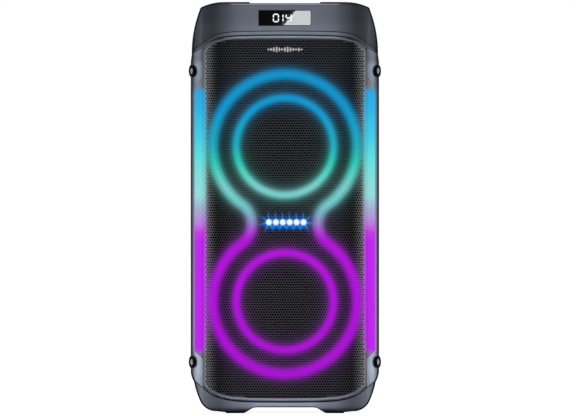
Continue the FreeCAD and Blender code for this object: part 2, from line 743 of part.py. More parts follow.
def build_tweeters():
    """Two dome tweeters beside the waist of the light loop; gives their motors."""
    plates, motors = [], []
    for label, side in SIDES:
        name = "tweeter_" + label
        horn = spun(name + "_plate", [
            (D.dome_radius + 1, 0), (D.tweeter_radius, 0), (D.tweeter_radius, 2),
            (D.tweeter_radius - 1, 3), (D.tweeter_radius - 4, 3), (D.dome_radius + 1, 1)])
        dome = spun(name + "_dome", [
            (0, 4.5), (D.dome_radius, 0.6, "dome"), (D.dome_radius - 0.5, 0.4),
            (0, 4.0, "dome")])
        motor = spun(name + "_magnet", [
            (0, -24), (D.tweeter_motor, -24), (D.tweeter_motor, -0.1), (14, -0.1), (12, -3),
            (0, -3)])
        for part in (horn, dome, motor):
            place(part, tweeter_offset() * side, BAFFLE_FRONT, D.waist_height, OUTWARD)
        ready(dome, dome.Name)
        plates.append(horn)
        motors.append(motor)
    ready(joined("tweeter_plates", plates), "tweeter_plates")
    return motors


def build_strobe():
    """Row of six bright lights across the waist."""
    housing = plate("strobe_housing", D.strobe_pitch * 6 + 6, 18, 9)
    cups = []
    lenses = []
    for number in range(6):
        across = D.strobe_pitch * (number - 2.5)
        cups.append((D.strobe_lens + 0.2, across, 0))
        stem = rod("strobe_stem_%d" % number, D.strobe_lens, 8,
                   (across, BAFFLE_FRONT - 1, D.strobe_height), OUTWARD)
        dome = doc.addObject("Part::Cone", "strobe_dome_%d" % number)
        bind(dome, "Radius1", D.strobe_lens)
        bind(dome, "Radius2", D.strobe_lens - 2)
        bind(dome, "Height", 3)
        place(dome, across, BAFFLE_FRONT - 9, D.strobe_height, OUTWARD)
        lenses += [stem, dome]
    pierce(housing, "strobe_cups", [], cups)
    place(housing, 0, BAFFLE_FRONT, D.strobe_height, OUTWARD)
    ready(housing, "strobe_housing")
    ready(joined("strobe_lenses", lenses), "strobe_lenses")


# ---------------------------------------------------------------- display and badge

SEGMENTS = {"0": "abcdef", "1": "bc", "4": "bcfg"}


def build_display():
    """Smoked window, the module behind it and its lit seven-segment bars."""
    pane = centred_box("display_pane", (D.display_width - 0.4, 2, D.display_tall - 0.4),
                       (0, FRONT + 1.3, D.display_height))
    window = doc.addObject("Part::Fillet", "display_window")
    window.Base = pane
    doc.recompute()
    upright = [n + 1 for n, e in enumerate(pane.Shape.Edges)
               if abs(e.BoundBox.XLength) + abs(e.BoundBox.ZLength) < 0.01]
    window.Edges = [(n, 2.0, 2.0) for n in upright]
    ready(window, "display_window")
    module = centred_box("display_module", (84, 11, 22), (0, FRONT + 8.5, D.display_height))
    ready(module, "display_module")
    bars = []
    for place_number, digit in enumerate("014"):
        centre = D.digit_start + D.digit_pitch * place_number
        bars += digit_bars("digit_%d" % place_number, digit, centre)
    ready(joined("display_segments", bars), "display_segments")


def digit_bars(name, digit, centre):
    """Lit bars of one seven-segment figure."""
    wide, tall, stroke = D.digit_wide, D.digit_tall, D.digit_stroke
    side = wide / 2 - stroke / 2
    level = tall / 2 - stroke / 2
    flat = (wide - stroke * 2, stroke)
    post = (stroke, tall / 2 - stroke * 0.9)
    layout = {
        "a": (flat, 0, level), "g": (flat, 0, 0), "d": (flat, 0, -level),
        "b": (post, side, level / 2), "c": (post, side, -level / 2),
        "f": (post, -side, level / 2), "e": (post, -side, -level / 2),
    }
    bars = []
    for letter in SEGMENTS[digit]:
        size, across, up = layout[letter]
        bars.append(centred_box(name + "_" + letter, (size[0], 0.4, size[1]),
                                (centre + across, FRONT + 2.6, D.display_height + up)))
    return bars


BADGE_BARS = [2.6, 4.4, 6.6, 9, 6, 3.6, 6.8, 9, 7, 4.6, 3, 5.4, 2.6]


def build_badge():
    """Equaliser bars on a thin rail, mounted on the grille."""
    surface = FRONT + D.grille_recess
    bars = []
    for number, tall in enumerate(BADGE_BARS):
        across = D.badge_pitch * (number - (len(BADGE_BARS) - 1) / 2)
        bars.append(centred_box("badge_bar_%d" % number, (D.badge_bar, 1.6, tall),
                                (across, surface - 0.8, D.badge_height)))
    rail = centred_box("badge_rail", (D.badge_pitch * (len(BADGE_BARS) - 1), 0.8, 0.9),
                       (0, surface - 0.4, D.badge_height))
    ready(joined("badge", bars + [rail]), "badge")


# ---------------------------------------------------------------- top controls

TOP_BUTTONS = ("pairing_button", "bass_button", "power_button", "light_button", "play_button")


def build_top_controls():
    """Panel under the well, its dial and a row of push buttons."""
    panel = plate("control_panel", D.well_half * 2 + 16, D.well_length + 16, D.panel_thick)
    row = D.button_row - D.well_centre
    holes = [(D.button_radius + 0.3, D.button_pitch * (n - 2), row) for n in range(5)]
    holes.append((D.shaft_radius + 0.05, 0, D.knob_centre - D.well_centre))
    pierce(panel, "panel_holes", [], holes)
    top = D.body_height - D.wall
    place(panel, 0, D.well_centre, top - D.panel_thick)
    ready(panel, "control_panel")
    dial = spun("volume_dial", [
        (0, -12), (D.shaft_radius, -12), (D.shaft_radius, 0.4), (D.knob_radius, 0.4),
        (D.knob_radius, 4.2), (D.knob_radius - 1.2, 5.4), (D.knob_radius - 6, 5.4),
        (D.knob_radius - 7.5, 4.4), (0, 4.4)])
    mark = sketch_on(dial, "XY_Plane", "dial_mark")
    draw_loop(mark, rectangle(1.6, 4.5, 0, D.knob_radius - 3.6))
    notch = dial.newObject("PartDesign::Pocket", "dial_mark_cut")
    notch.Profile = mark
    notch.Type = "Length"
    notch.Length = 20
    notch.Midplane = True
    mark.AttachmentOffset = FreeCAD.Placement(Vector(0, 0, 14.8), UPRIGHT)
    mark.Visibility = False
    place(dial, 0, D.knob_centre, top)
    ready(dial, "volume_dial")
    for number, label in enumerate(TOP_BUTTONS):
        flange = D.button_radius + 1.5
        button = spun(label, [
            (0, -6), (flange, -6), (flange, -4.6), (D.button_radius, -4.6),
            (D.button_radius, 1.3), (D.button_radius - 0.6, 1.9), (0, 1.9)])
        place(button, D.button_pitch * (number - 2), D.button_row, top)
        ready(button, label)


# ---------------------------------------------------------------- rear

MIC_COLUMN, GUITAR_COLUMN, MIC_DIAL, GUITAR_DIAL = 62, 24, -22, -60
USB_COLUMN, AUX_COLUMN = 62, 30
INLET_COLUMN, ROCKER_COLUMN = 50, -30


def build_rear_panel():
    """Plate with its sockets, dials, rocker, mains inlet and heat sink."""
    low, high = D.rear_window_low, D.rear_window_high
    middle = (low + high) / 2
    wide = D.rear_window_half * 2 + D.rear_lip * 2
    panel = plate("rear_panel", wide, high - low + D.rear_lip * 2, D.rear_panel_thick)
    control, socket, power = (row - middle for row in (D.control_row, D.socket_row, D.power_row))
    # Seen from behind, so columns run from right to left.
    pierce(panel, "rear_holes",
           [(14, 6.6, -USB_COLUMN, socket), (30, 22, -INLET_COLUMN, power),
            (27, 17, -ROCKER_COLUMN, power)],
           [(7.1, -MIC_COLUMN, control), (7.1, -GUITAR_COLUMN, control),
            (D.shaft_radius + 0.05, -MIC_DIAL, control),
            (D.shaft_radius + 0.05, -GUITAR_DIAL, control), (4.1, -AUX_COLUMN, socket)])
    place(panel, 0, REAR_WALL - D.rear_panel_thick, middle, FROM_BEHIND)
    ready(panel, "rear_panel")
    sockets = []
    for name, column in (("microphone_jack", MIC_COLUMN), ("guitar_jack", GUITAR_COLUMN)):
        sleeve = spun(name, [
            (D.jack_bore, -20), (7, -20), (7, 0), (10, 0), (10, 2), (9, 3), (D.jack_bore, 3)])
        sockets.append(place(sleeve, column, REAR_WALL, D.control_row, FROM_BEHIND))
    aux = spun("aux_jack", [(1.8, -14), (4, -14), (4, 0), (6, 0), (6, 1.5), (1.8, 1.5)])
    sockets.append(place(aux, AUX_COLUMN, REAR_WALL, D.socket_row, FROM_BEHIND))
    port = plate("usb_port", 13.6, 6.2, 16)
    pierce(port, "usb_mouth", [(12.2, 4.8, 0, 0)], [])
    sockets.append(place(port, USB_COLUMN, REAR_WALL - 15, D.socket_row, FROM_BEHIND))
    ready(joined("rear_sockets", sockets), "rear_sockets")
    for label, column in (("microphone_dial", MIC_DIAL), ("guitar_dial", GUITAR_DIAL)):
        dial = spun(label, [
            (0, -12), (D.shaft_radius, -12), (D.shaft_radius, 0.5), (D.rear_knob_radius, 0.5),
            (D.rear_knob_radius, 6.8), (D.rear_knob_radius - 1, 7.8), (0, 7.8)])
        place(dial, column, REAR_WALL, D.control_row, FROM_BEHIND)
        ready(dial, label)
    build_power_entry()
    build_heat_sink()


def build_power_entry():
    """Mains inlet with its three blades, the rocker and the rocker's frame."""
    inlet = plate("inlet_tub", 29.6, 21.6, 24)
    pierce(inlet, "inlet_mouth", [(24.6, 16.6, 0, 0)], [])
    place(inlet, INLET_COLUMN, REAR_WALL - 21, D.power_row, FROM_BEHIND)
    flange = plate("inlet_flange", 46, 28, 2)
    pierce(flange, "flange_mouth", [(24.6, 16.6, 0, 0)], [])
    place(flange, INLET_COLUMN, REAR_WALL, D.power_row, FROM_BEHIND)
    floor = centred_box("inlet_floor", (29.6, 2, 21.6),
                        (INLET_COLUMN, REAR_WALL - 20, D.power_row))
    blades = [centred_box("inlet_blade_%d" % n, (2, 12, 4),
                          (INLET_COLUMN + 7 * (n - 1), REAR_WALL - 13, D.power_row + 3 * (n == 1)))
              for n in range(3)]
    frame = plate("rocker_frame", 26.6, 16.6, 18)
    pierce(frame, "rocker_mouth", [(21.6, 12.6, 0, 0)], [])
    place(frame, ROCKER_COLUMN, REAR_WALL - 16, D.power_row, FROM_BEHIND)
    ready(joined("power_entry", [inlet, flange, floor, frame] + blades), "power_entry")
    rocker = doc.addObject("PartDesign::Body", "power_rocker")
    profile = sketch_on(rocker, "YZ_Plane", "rocker_profile")
    draw_loop(profile, [(-4, -5.4), (2.4, -5.4), (1.2, 0), (2.4, 5.4), (-4, 5.4)])
    pad = rocker.newObject("PartDesign::Pad", "rocker_pad")
    pad.Profile = profile
    pad.Length = 20.8
    pad.Midplane = True
    profile.Visibility = False
    place(rocker, ROCKER_COLUMN, REAR_WALL - 1, D.power_row, Rotation(Vector(1, 0, 0), 8))
    ready(rocker, "power_rocker")


def build_heat_sink():
    """Finned plate in the middle of the rear window."""
    base = centred_box("sink_base", (150, 3, 78), (0, REAR_WALL + 1.5, 158))
    fins = [centred_box("sink_fin_%d" % n, (2, 5, 78), (10.4 * (n - 7), REAR_WALL + 5.4, 158))
            for n in range(15)]
    ready(joined("heat_sink", [base] + fins), "heat_sink")


def build_ports():
    """Two flared bass tubes through the rear wall."""
    tubes = []
    for label, side in SIDES:
        bore = D.port_radius
        tube = spun("port_tube_" + label, [
            (bore, -D.port_length), (bore + 2.8, -D.port_length), (bore + 2.8, -3),
            (bore + 10.8, -3), (bore + 10.8, -0.4), (bore + 8, -0.4),
            (bore, -8.4, (bore + 2.343, -2.743))])
        tubes.append(place(tube, D.port_offset * side, BACK, D.port_height, FROM_BEHIND))
    ready(joined("bass_port_tubes", tubes), "bass_port_tubes")


def build_handle():
    """Cup in the rear wall with a round grip across it."""
    low, high = D.handle_low, D.handle_high
    middle, tall = (low + high) / 2, high - low
    outer = box("handle_block", (D.handle_half * 2 + 8, D.handle_depth, tall + 8),
                (-D.handle_half - 4, REAR_WALL - D.handle_depth, low - 4))
    inner = box("handle_room", (D.handle_half * 2 - 0.2, D.handle_depth, tall - 0.2),
                (0.1 - D.handle_half, REAR_WALL - D.handle_depth + 3, low + 0.1))
    cup = removed("handle_cup", outer, inner)
    grip = rod("handle_grip", D.grip_radius, D.handle_half * 2 - 0.2,
               (0.1 - D.handle_half, REAR_WALL - 5, middle + 14), Rotation(Vector(0, 1, 0), 90))
    ready(joined("rear_handle", [cup, grip]), "rear_handle")


# ---------------------------------------------------------------- inside and underside

def build_inside():
    """Battery, amplifier board and the wires to the drivers."""
    floor = 19
    battery = centred_box("battery_block", (D.battery_width, D.battery_length, D.battery_tall),
                          (0, -50, D.battery_tall / 2 + floor))
    pack = doc.addObject("Part::Chamfer", "battery_pack")
    pack.Base = battery
    doc.recompute()
    pack.Edges = [(n + 1, 3.0, 3.0) for n in range(len(battery.Shape.Edges))]
    ready(pack, "battery_pack")
    board = centred_box("amplifier_card", (170, 1.6, 200), (0, 118, 180))
    parts = [board, centred_box("amplifier_coil", (52, 36, 44), (-45, 99.4, 110)),
             centred_box("amplifier_filter", (30, 22, 30), (50, 106.4, 110)),
             centred_box("amplifier_chip", (40, 8, 30), (0, 113.4, 215))]
    for number in range(3):
        parts.append(rod("amplifier_can_%d" % number, 11, 30, (28 * (number - 1), 117.4, 165),
                         OUTWARD))
    ready(joined("amplifier_board", parts), "amplifier_board")
    wires = []
    for side, height in ((1, UPPER_WOOFER.value), (-1, LOWER_WOOFER.value)):
        path = Part.BSplineCurve()
        path.interpolate([Vector(side * 70, 113, 255), Vector(side * 104, 70, 270),
                          Vector(side * 112, -20, (270 + height) / 2),
                          Vector(side * 84, -74, height - 34), Vector(side * 53, -88, height - 30)])
        edge = path.toShape()
        ring = Part.Circle(edge.valueAt(edge.FirstParameter), edge.tangentAt(edge.FirstParameter),
                           2.2)
        wires.append(Part.Wire(edge).makePipeShell([Part.Wire(ring.toShape())], True, True))
    fixed_shape("speaker_wires", Part.makeCompound(wires))


def build_underside():
    """Four rubber pads that carry the speaker, and the screws of the rear panel."""
    pads = []
    for label, side in SIDES:
        for number, near in enumerate((-92, 92)):
            pads.append(centred_box(
                "pad_%s_%d" % (label, number),
                (D.foot_wide - 0.2, D.foot_long - 0.2, D.foot_tall),
                (D.foot_offset * side, near, D.foot_tall / 2)))
    ready(joined("rubber_feet", pads), "rubber_feet")
    screws = []
    spots = [(83, 78), (83, 180), (83, 282), (0, 282), (0, 78)]
    spots += [(-across, up) for across, up in spots if across]
    for number, (across, up) in enumerate(spots):
        screws.append(rod("screw_%d" % number, D.screw_radius, 2, (across, REAR_WALL, up),
                          BACKWARD))
    ready(joined("panel_screws", screws), "panel_screws")


def build_all():
    """Every node of the assembly."""
    build_cabinet()
    build_front_frame()
    build_baffle()
    build_front_mouldings()
    build_light_guides()
    build_corner_bosses()
    magnets = [build_woofer("upper", UPPER_WOOFER), build_woofer("lower", LOWER_WOOFER)]
    ready(joined("driver_magnets", magnets + build_tweeters()), "driver_magnets")
    build_strobe()
    build_display()
    build_badge()
    build_top_controls()
    build_rear_panel()
    build_ports()
    build_handle()
    build_inside()
    build_underside()


def check_and_write():
    """Stop on any broken object, then write one STEP file per node."""
    doc.recompute()
    faults = [obj.Name for obj in doc.Objects if "Invalid" in obj.State or "Error" in obj.State]
    if faults:
        raise RuntimeError("objects with errors: " + ", ".join(faults))
    os.makedirs("parts", exist_ok=True)
    for obj in nodes:
        if obj.Shape.isNull() or not obj.Shape.isValid() or not obj.Shape.Solids:
            raise RuntimeError("bad shape: " + obj.Label)
        obj.Shape.exportStep("parts/%s.step" % obj.Label)
        bounds = obj.Shape.BoundBox
        print("%-26s %2d solids  x %.1f..%.1f  y %.1f..%.1f  z %.1f..%.1f" % (
            obj.Label, len(obj.Shape.Solids), bounds.XMin, bounds.XMax, bounds.YMin, bounds.YMax,
            bounds.ZMin, bounds.ZMax))


build_all()
check_and_write()
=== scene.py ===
"""Looks for the party speaker: perforated grille, light loops, painted mouldings and controls."""

import math
from fnmatch import fnmatch

import bmesh
import bpy
from mathutils import Matrix, Vector


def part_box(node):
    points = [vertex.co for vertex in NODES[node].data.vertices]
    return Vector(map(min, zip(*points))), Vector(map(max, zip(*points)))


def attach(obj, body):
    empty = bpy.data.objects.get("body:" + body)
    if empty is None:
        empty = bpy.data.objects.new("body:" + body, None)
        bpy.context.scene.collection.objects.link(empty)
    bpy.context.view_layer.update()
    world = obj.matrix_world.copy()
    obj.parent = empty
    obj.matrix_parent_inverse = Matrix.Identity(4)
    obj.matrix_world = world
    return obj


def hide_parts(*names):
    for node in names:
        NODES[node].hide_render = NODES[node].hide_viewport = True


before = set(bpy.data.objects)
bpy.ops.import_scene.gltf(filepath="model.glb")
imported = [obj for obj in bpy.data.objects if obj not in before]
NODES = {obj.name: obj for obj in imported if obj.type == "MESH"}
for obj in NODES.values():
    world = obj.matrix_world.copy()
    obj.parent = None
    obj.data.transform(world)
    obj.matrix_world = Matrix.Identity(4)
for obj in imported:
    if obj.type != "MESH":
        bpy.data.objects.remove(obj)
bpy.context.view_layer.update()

# ---------------------------------------------------------------- sizes, in metres

FLAT_HALF = 0.075
WRAP_RADIUS = 0.110
WRAP_ANGLE = math.radians(33)
CORNER_RADIUS = 0.046
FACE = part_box("top_fascia")[0][1]
GRILLE_INSET = 0.0025
SCRIM_INSET = 0.00388
SHEET_THICK = 0.0012
GRILLE_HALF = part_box("grille")[1][0]

HOLE_PITCH = 0.00422
ROW_PITCH = 0.00410
HOLE_RADIUS = 0.00178
HOLE_SIDES = 8
PERFORATED_HALF = 0.1325
SMALLEST_CELL = 0.00001
SHORTEST_EDGE = 0.0012
HOLE_FACE_AREA = 0.000003

UPPER_HUB = 0.4410
LOWER_HUB = 0.1854
WAIST = (UPPER_HUB + LOWER_HUB) / 2
RING_RADIUS = 0.0802
LOBE_RADIUS = 0.1193
WAIST_HALF = 0.0547
STROBE_HEIGHT = 0.316
STROBE_PITCH = 0.0114
STROBE_SHIFT = 0.0022

# Grille outline and rows, right half, as (x, z).
GRILLE_TOP = [(0, .6254), (.045, .6251), (.080, .6243), (.098, .6226), (.1145, .6186),
              (.127, .6111), (.139, .6021)]
GRILLE_BOTTOM = [(0, .01955), (.054, .02005), (.0876, .02225), (.104, .02555), (.121, .03225),
                 (.1366, .04425)]
HOLES_TOP = [(0, .6198), (.045, .6194), (.080, .6184), (.098, .6162), (.1145, .6120),
             (.127, .6042), (.1353, .5958)]
HOLES_BOTTOM = [(0, .0248), (.054, .0254), (.0876, .0278), (.104, .0315), (.121, .0385),
                (.1353, .0492)]

# Display colours of the lights by height: the side lenses, and the dimmer loops behind the mesh.
SIDE_RAMP = [
    (.100, (190, 14, 238)), (.285, (194, 18, 242)), (.300, (202, 51, 230)),
    (.316, (191, 128, 226)), (.336, (168, 172, 214)), (.362, (150, 224, 224)),
    (.395, (125, 226, 222)), (.425, (92, 226, 228)), (.458, (58, 206, 234)),
    (.510, (30, 176, 232)), (.560, (22, 160, 222)),
]
LOOP_RAMP = [
    (.060, (170, 16, 212)), (.286, (178, 20, 218)), (.300, (176, 66, 216)),
    (.316, (146, 138, 202)), (.334, (122, 184, 200)), (.352, (112, 204, 200)),
    (.372, (124, 204, 204)), (.395, (88, 208, 192)), (.418, (48, 196, 178)),
    (.441, (36, 170, 187)), (.500, (18, 150, 206)), (.560, (17, 146, 202)),
]
LACQUER_TINT = (0.93, 1.04, 1.27)
COAT_ROUGHNESS = 0.18


def linear(channel):
    """Display value from 0 to 255 as linear light."""
    value = channel / 255
    return value / 12.92 if value <= 0.04045 else ((value + 0.055) / 1.055) ** 2.4


def paint(red, green, blue):
    """Display colour as linear RGB."""
    return linear(red), linear(green), linear(blue)


def light_colour(stops, height):
    """Linear colour at a height, from (z, display colour) stops."""
    if height <= stops[0][0]:
        return paint(*stops[0][1])
    for (low, first), (high, second) in zip(stops, stops[1:]):
        if height <= high:
            part = (height - low) / (high - low)
            return paint(*(a + (b - a) * part for a, b in zip(first, second)))
    return paint(*stops[-1][1])


def along(curve, x):
    """Height of a right-half outline at a given |x|."""
    x = abs(x)
    for (x0, z0), (x1, z1) in zip(curve, curve[1:]):
        if x <= x1:
            return z0 + (z1 - z0) * (x - x0) / (x1 - x0)
    (x0, z0), (x1, z1) = curve[-2:]
    return z1 + (z1 - z0) * (x - x1) / (x1 - x0)


def face_point(arc, inset):
    """Point (x, y) and outward normal on the wrapped front at an arc length from the middle."""
    side, distance = (1 if arc >= 0 else -1), abs(arc)
    wrap = WRAP_RADIUS - inset
    corner = CORNER_RADIUS - inset
    middle_y = FACE + WRAP_RADIUS
    if distance <= FLAT_HALF:
        return side * distance, FACE + inset, 0.0, -1.0
    angle = (distance - FLAT_HALF) / wrap
    if angle <= WRAP_ANGLE:
        x = FLAT_HALF + wrap * math.sin(angle)
        y = middle_y - wrap * math.cos(angle)
    else:
        reach = WRAP_RADIUS - CORNER_RADIUS
        angle = WRAP_ANGLE + (distance - FLAT_HALF - wrap * WRAP_ANGLE) / corner
        x = FLAT_HALF + reach * math.sin(WRAP_ANGLE) + corner * math.sin(angle)
        y = middle_y - reach * math.cos(WRAP_ANGLE) - corner * math.cos(angle)
    return side * x, y, side * math.sin(angle), -math.cos(angle)


def arc_at(x_limit, inset):
    """Arc length at which the wrapped front reaches a given x."""
    low, high = 0.0, 0.25
    for _ in range(40):
        middle = (low + high) / 2
        if face_point(middle, inset)[0] < x_limit:
            low = middle
        else:
            high = middle
    return low


def loop_distance(x, z):
    """Distance in the front view to the figure-eight light loop."""
    x, z = abs(x), abs(z - WAIST)
    half_gap = (UPPER_HUB - LOWER_HUB) / 2
    square = WAIST_HALF ** 2 + half_gap ** 2 - LOBE_RADIUS ** 2
    bend = square / (2 * (LOBE_RADIUS - WAIST_HALF))
    pivot = WAIST_HALF + bend
    if half_gap * (pivot - x) < pivot * z:
        return abs(math.hypot(x, z - half_gap) - LOBE_RADIUS)
    return abs(math.hypot(x - pivot, z) - bend)


def glow_at(x, z):
    """Linear light that leaves the mesh at a point of the front view, and how strong it is."""
    ring = min(abs(math.hypot(x, z - hub) - RING_RADIUS) for hub in (UPPER_HUB, LOWER_HUB))
    loop = loop_distance(x, z)
    level = 1 / (1 + (ring / 0.0062) ** 3.0)
    # The loop's guide shows as a slightly darker line along each of its edges.
    line = math.exp(-((loop - 0.0043) / 0.0011) ** 2)
    level = min(1.0, level + (1 - 0.22 * line) / (1 + (loop / 0.0080) ** 3.8))
    edge = max(0.0, abs(x) - 0.1240) / 0.0100
    ends = min(1.0, max(0.0, (0.545 - z) / 0.03), max(0.0, (z - 0.098) / 0.03))
    side = 0.74 * min(1.0, edge) ** 1.8 * ends
    light = [min(1.0, level * near + side * far) for near, far in
             zip(light_colour(LOOP_RAMP, z), light_colour(SIDE_RAMP, z))]
    return (*light, min(1.0, level + side))


# ---------------------------------------------------------------- node helpers

def new_surface(name):
    """Node material with one principled shader; gives the material, its tree and the shader."""
    material = bpy.data.materials.new(name)
    material.use_nodes = True
    tree = material.node_tree
    tree.nodes.clear()
    output = add(tree, "ShaderNodeOutputMaterial")
    shader = add(tree, "ShaderNodeBsdfPrincipled")
    tree.links.new(shader.outputs[0], output.inputs["Surface"])
    return material, tree, shader


def feed(tree, node, inputs):
    """Give each named or numbered input a socket, a number or a colour."""
    for name, value in inputs.items():
        if isinstance(value, bpy.types.NodeSocket):
            tree.links.new(value, node.inputs[name])
        elif isinstance(value, tuple):
            node.inputs[name].default_value = (*value, 1)
        else:
            node.inputs[name].default_value = value


def add(tree, kind, **settings):
    """Node of a kind with its properties set."""
    node = tree.nodes.new(kind)
    for key, value in settings.items():
        setattr(node, key, value)
    return node


def calculate(tree, operation, *values):
    """Math node on sockets or numbers; gives its output socket."""
    node = add(tree, "ShaderNodeMath", operation=operation)
    feed(tree, node, dict(enumerate(values)))
    return node.outputs[0]


def positions(tree):
    """Object coordinates, which are the row frame for every piece."""
    return add(tree, "ShaderNodeTexCoord").outputs["Object"]


def noise(tree, scale, detail=3.0, roughness=0.55):
    """Noise value over the object."""
    node = add(tree, "ShaderNodeTexNoise")
    feed(tree, node, {"Scale": scale, "Detail": detail, "Roughness": roughness,
                      "Vector": positions(tree)})
    return node.outputs["Fac"]


def mix_colours(tree, factor, first, second):
    """Colour between two, by a factor socket."""
    node = add(tree, "ShaderNodeMix", data_type="RGBA")
    feed(tree, node, {"Factor": factor, 6: first, 7: second})
    return node.outputs[2]


def spread(tree, value, low, high):
    """Value mapped from 0..1 to low..high."""
    node = add(tree, "ShaderNodeMapRange")
    feed(tree, node, {"Value": value, "To Min": low, "To Max": high})
    return node.outputs["Result"]


def bump(tree, shader, height, strength, distance):
    """Bump on a shader from a height socket."""
    node = add(tree, "ShaderNodeBump")
    feed(tree, node, {"Strength": strength, "Distance": distance, "Height": height})
    feed(tree, shader, {"Normal": node.outputs["Normal"]})


def finish_material(name, colour, roughness, metallic=0.0, vary=0.18, grain=900.0,
                    grain_depth=0.00004, grain_strength=0.35, patch=9.0, coat=0.0, specular=0.5):
    """Painted or moulded surface: slow colour drift, uneven gloss and a fine grain."""
    material, tree, shader = new_surface(name)
    light = tuple(min(1.0, channel * (1 + vary)) for channel in colour)
    dark = tuple(channel * (1 - vary) for channel in colour)
    wear = spread(tree, noise(tree, 60.0), max(0.02, roughness - 0.07), min(1.0, roughness + 0.09))
    feed(tree, shader, {
        "Base Color": mix_colours(tree, noise(tree, patch), dark, light), "Roughness": wear,
        "Metallic": metallic, "Specular IOR Level": specular,
        "Coat Weight": coat, "Coat Roughness": COAT_ROUGHNESS,
    })
    bump(tree, shader, noise(tree, grain, 2.0), grain_strength, grain_depth)
    return material


def metallic_paint(name, painted_light_by_height, painted_light_across, side_spill=0.0):
    """Blue-grey metallic lacquer with fine flakes, and light and shade painted into its colour.

    The height stops are (z, level) and the width stops (distance from the middle, factor); they are
    painted shade and painted highlights, not tones of the lacquer. The spill is light from the
    lenses, beyond which the paint turns dark around the outer edge.
    """
    material, tree, shader = new_surface(name)
    across, height = across_of(tree), height_of(tree)
    # Painted light and shade: brightness set by height and by distance from the middle.
    painted_height_light = blend_along(tree, height, [(z, tuple(level * tint for tint in LACQUER_TINT))
                                           for z, level in painted_light_by_height])
    # A ramp's colours stop at one, so the factors are halved in it and doubled after it.
    painted_width_light = blend_along(tree, across, [(x, (level / 2,) * 3) for x, level in painted_light_across])
    body = vector_math(tree, "MULTIPLY", painted_height_light, scaled_colour(tree, painted_width_light, 2.0))
    flakes = spread(tree, noise(tree, 2600.0, 1.0), 0.85, 1.15)
    drift = spread(tree, noise(tree, 5.0), 0.0, 0.10)
    lacquer = mix_colours(tree, drift, scaled_colour(tree, body, flakes), (0.05, 0.055, 0.065))
    feed(tree, shader, {
        "Metallic": 0.9, "Coat Weight": 0.2, "Coat Roughness": COAT_ROUGHNESS,
        "Roughness": spread(tree, noise(tree, 60.0), 0.25, 0.35),
    })
    bump(tree, shader, noise(tree, 2400.0, 2.0), 0.12, 0.00001)
    if side_spill:
        lacquer = spill_on_edge(tree, shader, lacquer, side_spill)
    feed(tree, shader, {"Base Color": lacquer})
    return material


def spill_on_edge(tree, shader, lacquer, strength):
    """Light of the side lenses on a paint, which is dark around the outer edge; gives the paint."""
    across, height = across_of(tree), height_of(tree)
    dark = step_between(tree, across, 0.1500, 0.1545)
    level = calculate(tree, "MULTIPLY", step_between(tree, across, 0.1565, 0.1480),
                      step_between(tree, height, 0.550, 0.520))
    level = calculate(tree, "MULTIPLY", level, step_between(tree, height, 0.090, 0.120))
    feed(tree, shader, {
        "Metallic": spread(tree, dark, 0.9, 0.1),
        "Specular IOR Level": spread(tree, dark, 0.5, 0.1),
        "Coat Weight": spread(tree, dark, 0.2, 0.0),
        "Emission Color": scaled_colour(tree, height_ramp(tree, SIDE_RAMP), level),
        "Emission Strength": strength,
    })
    return mix_colours(tree, dark, lacquer, (0.010, 0.011, 0.013))


def vector_math(tree, operation, first, second):
    """Vector math node on two sockets."""
    node = add(tree, "ShaderNodeVectorMath", operation=operation)
    feed(tree, node, {0: first, 1: second})
    return node.outputs[0]


def scaled_colour(tree, colour, factor):
    """Colour socket times a number or a value socket."""
    node = add(tree, "ShaderNodeVectorMath", operation="SCALE")
    feed(tree, node, {0: colour, "Scale": factor})
    return node.outputs[0]


def height_ramp(tree, ramp):
    """Colour by height, from (z, display colour) stops."""
    return blend_along(tree, height_of(tree), [(z, paint(*colour)) for z, colour in ramp])


def blend_along(tree, place, stops):
    """Colour by a place socket, from (place, linear colour) stops."""
    low, high = stops[0][0], stops[-1][0]
    node = add(tree, "ShaderNodeMapRange")
    feed(tree, node, {"From Min": low, "From Max": high, "Value": place})
    ramp = add(tree, "ShaderNodeValToRGB")
    elements = ramp.color_ramp.elements
    elements[0].position, elements[0].color = 0.0, (*stops[0][1], 1)
    elements[1].position, elements[1].color = 1.0, (*stops[-1][1], 1)
    for position, colour in stops[1:-1]:
        elements.new((position - low) / (high - low)).color = (*colour, 1)
    feed(tree, ramp, {"Fac": node.outputs["Result"]})
    return ramp.outputs["Color"]


def split_place(tree):
    """X, Y and Z sockets in the row frame."""
    split = add(tree, "ShaderNodeSeparateXYZ")
    feed(tree, split, {0: positions(tree)})
    return split.outputs


def height_of(tree):
    """Height socket in the row frame."""
    return split_place(tree)["Z"]


def across_of(tree):
    """Distance from the middle plane, as a socket."""
    return calculate(tree, "ABSOLUTE", split_place(tree)["X"])


def step_between(tree, value, start, end):
    """Smooth step from 0 at the start to 1 at the end."""
    node = add(tree, "ShaderNodeMapRange", interpolation_type="SMOOTHSTEP")
    rising = start < end
    feed(tree, node, {"Value": value, "From Min": min(start, end), "From Max": max(start, end),
                      "To Min": 0.0 if rising else 1.0, "To Max": 1.0 if rising else 0.0})
    return node.outputs["Result"]


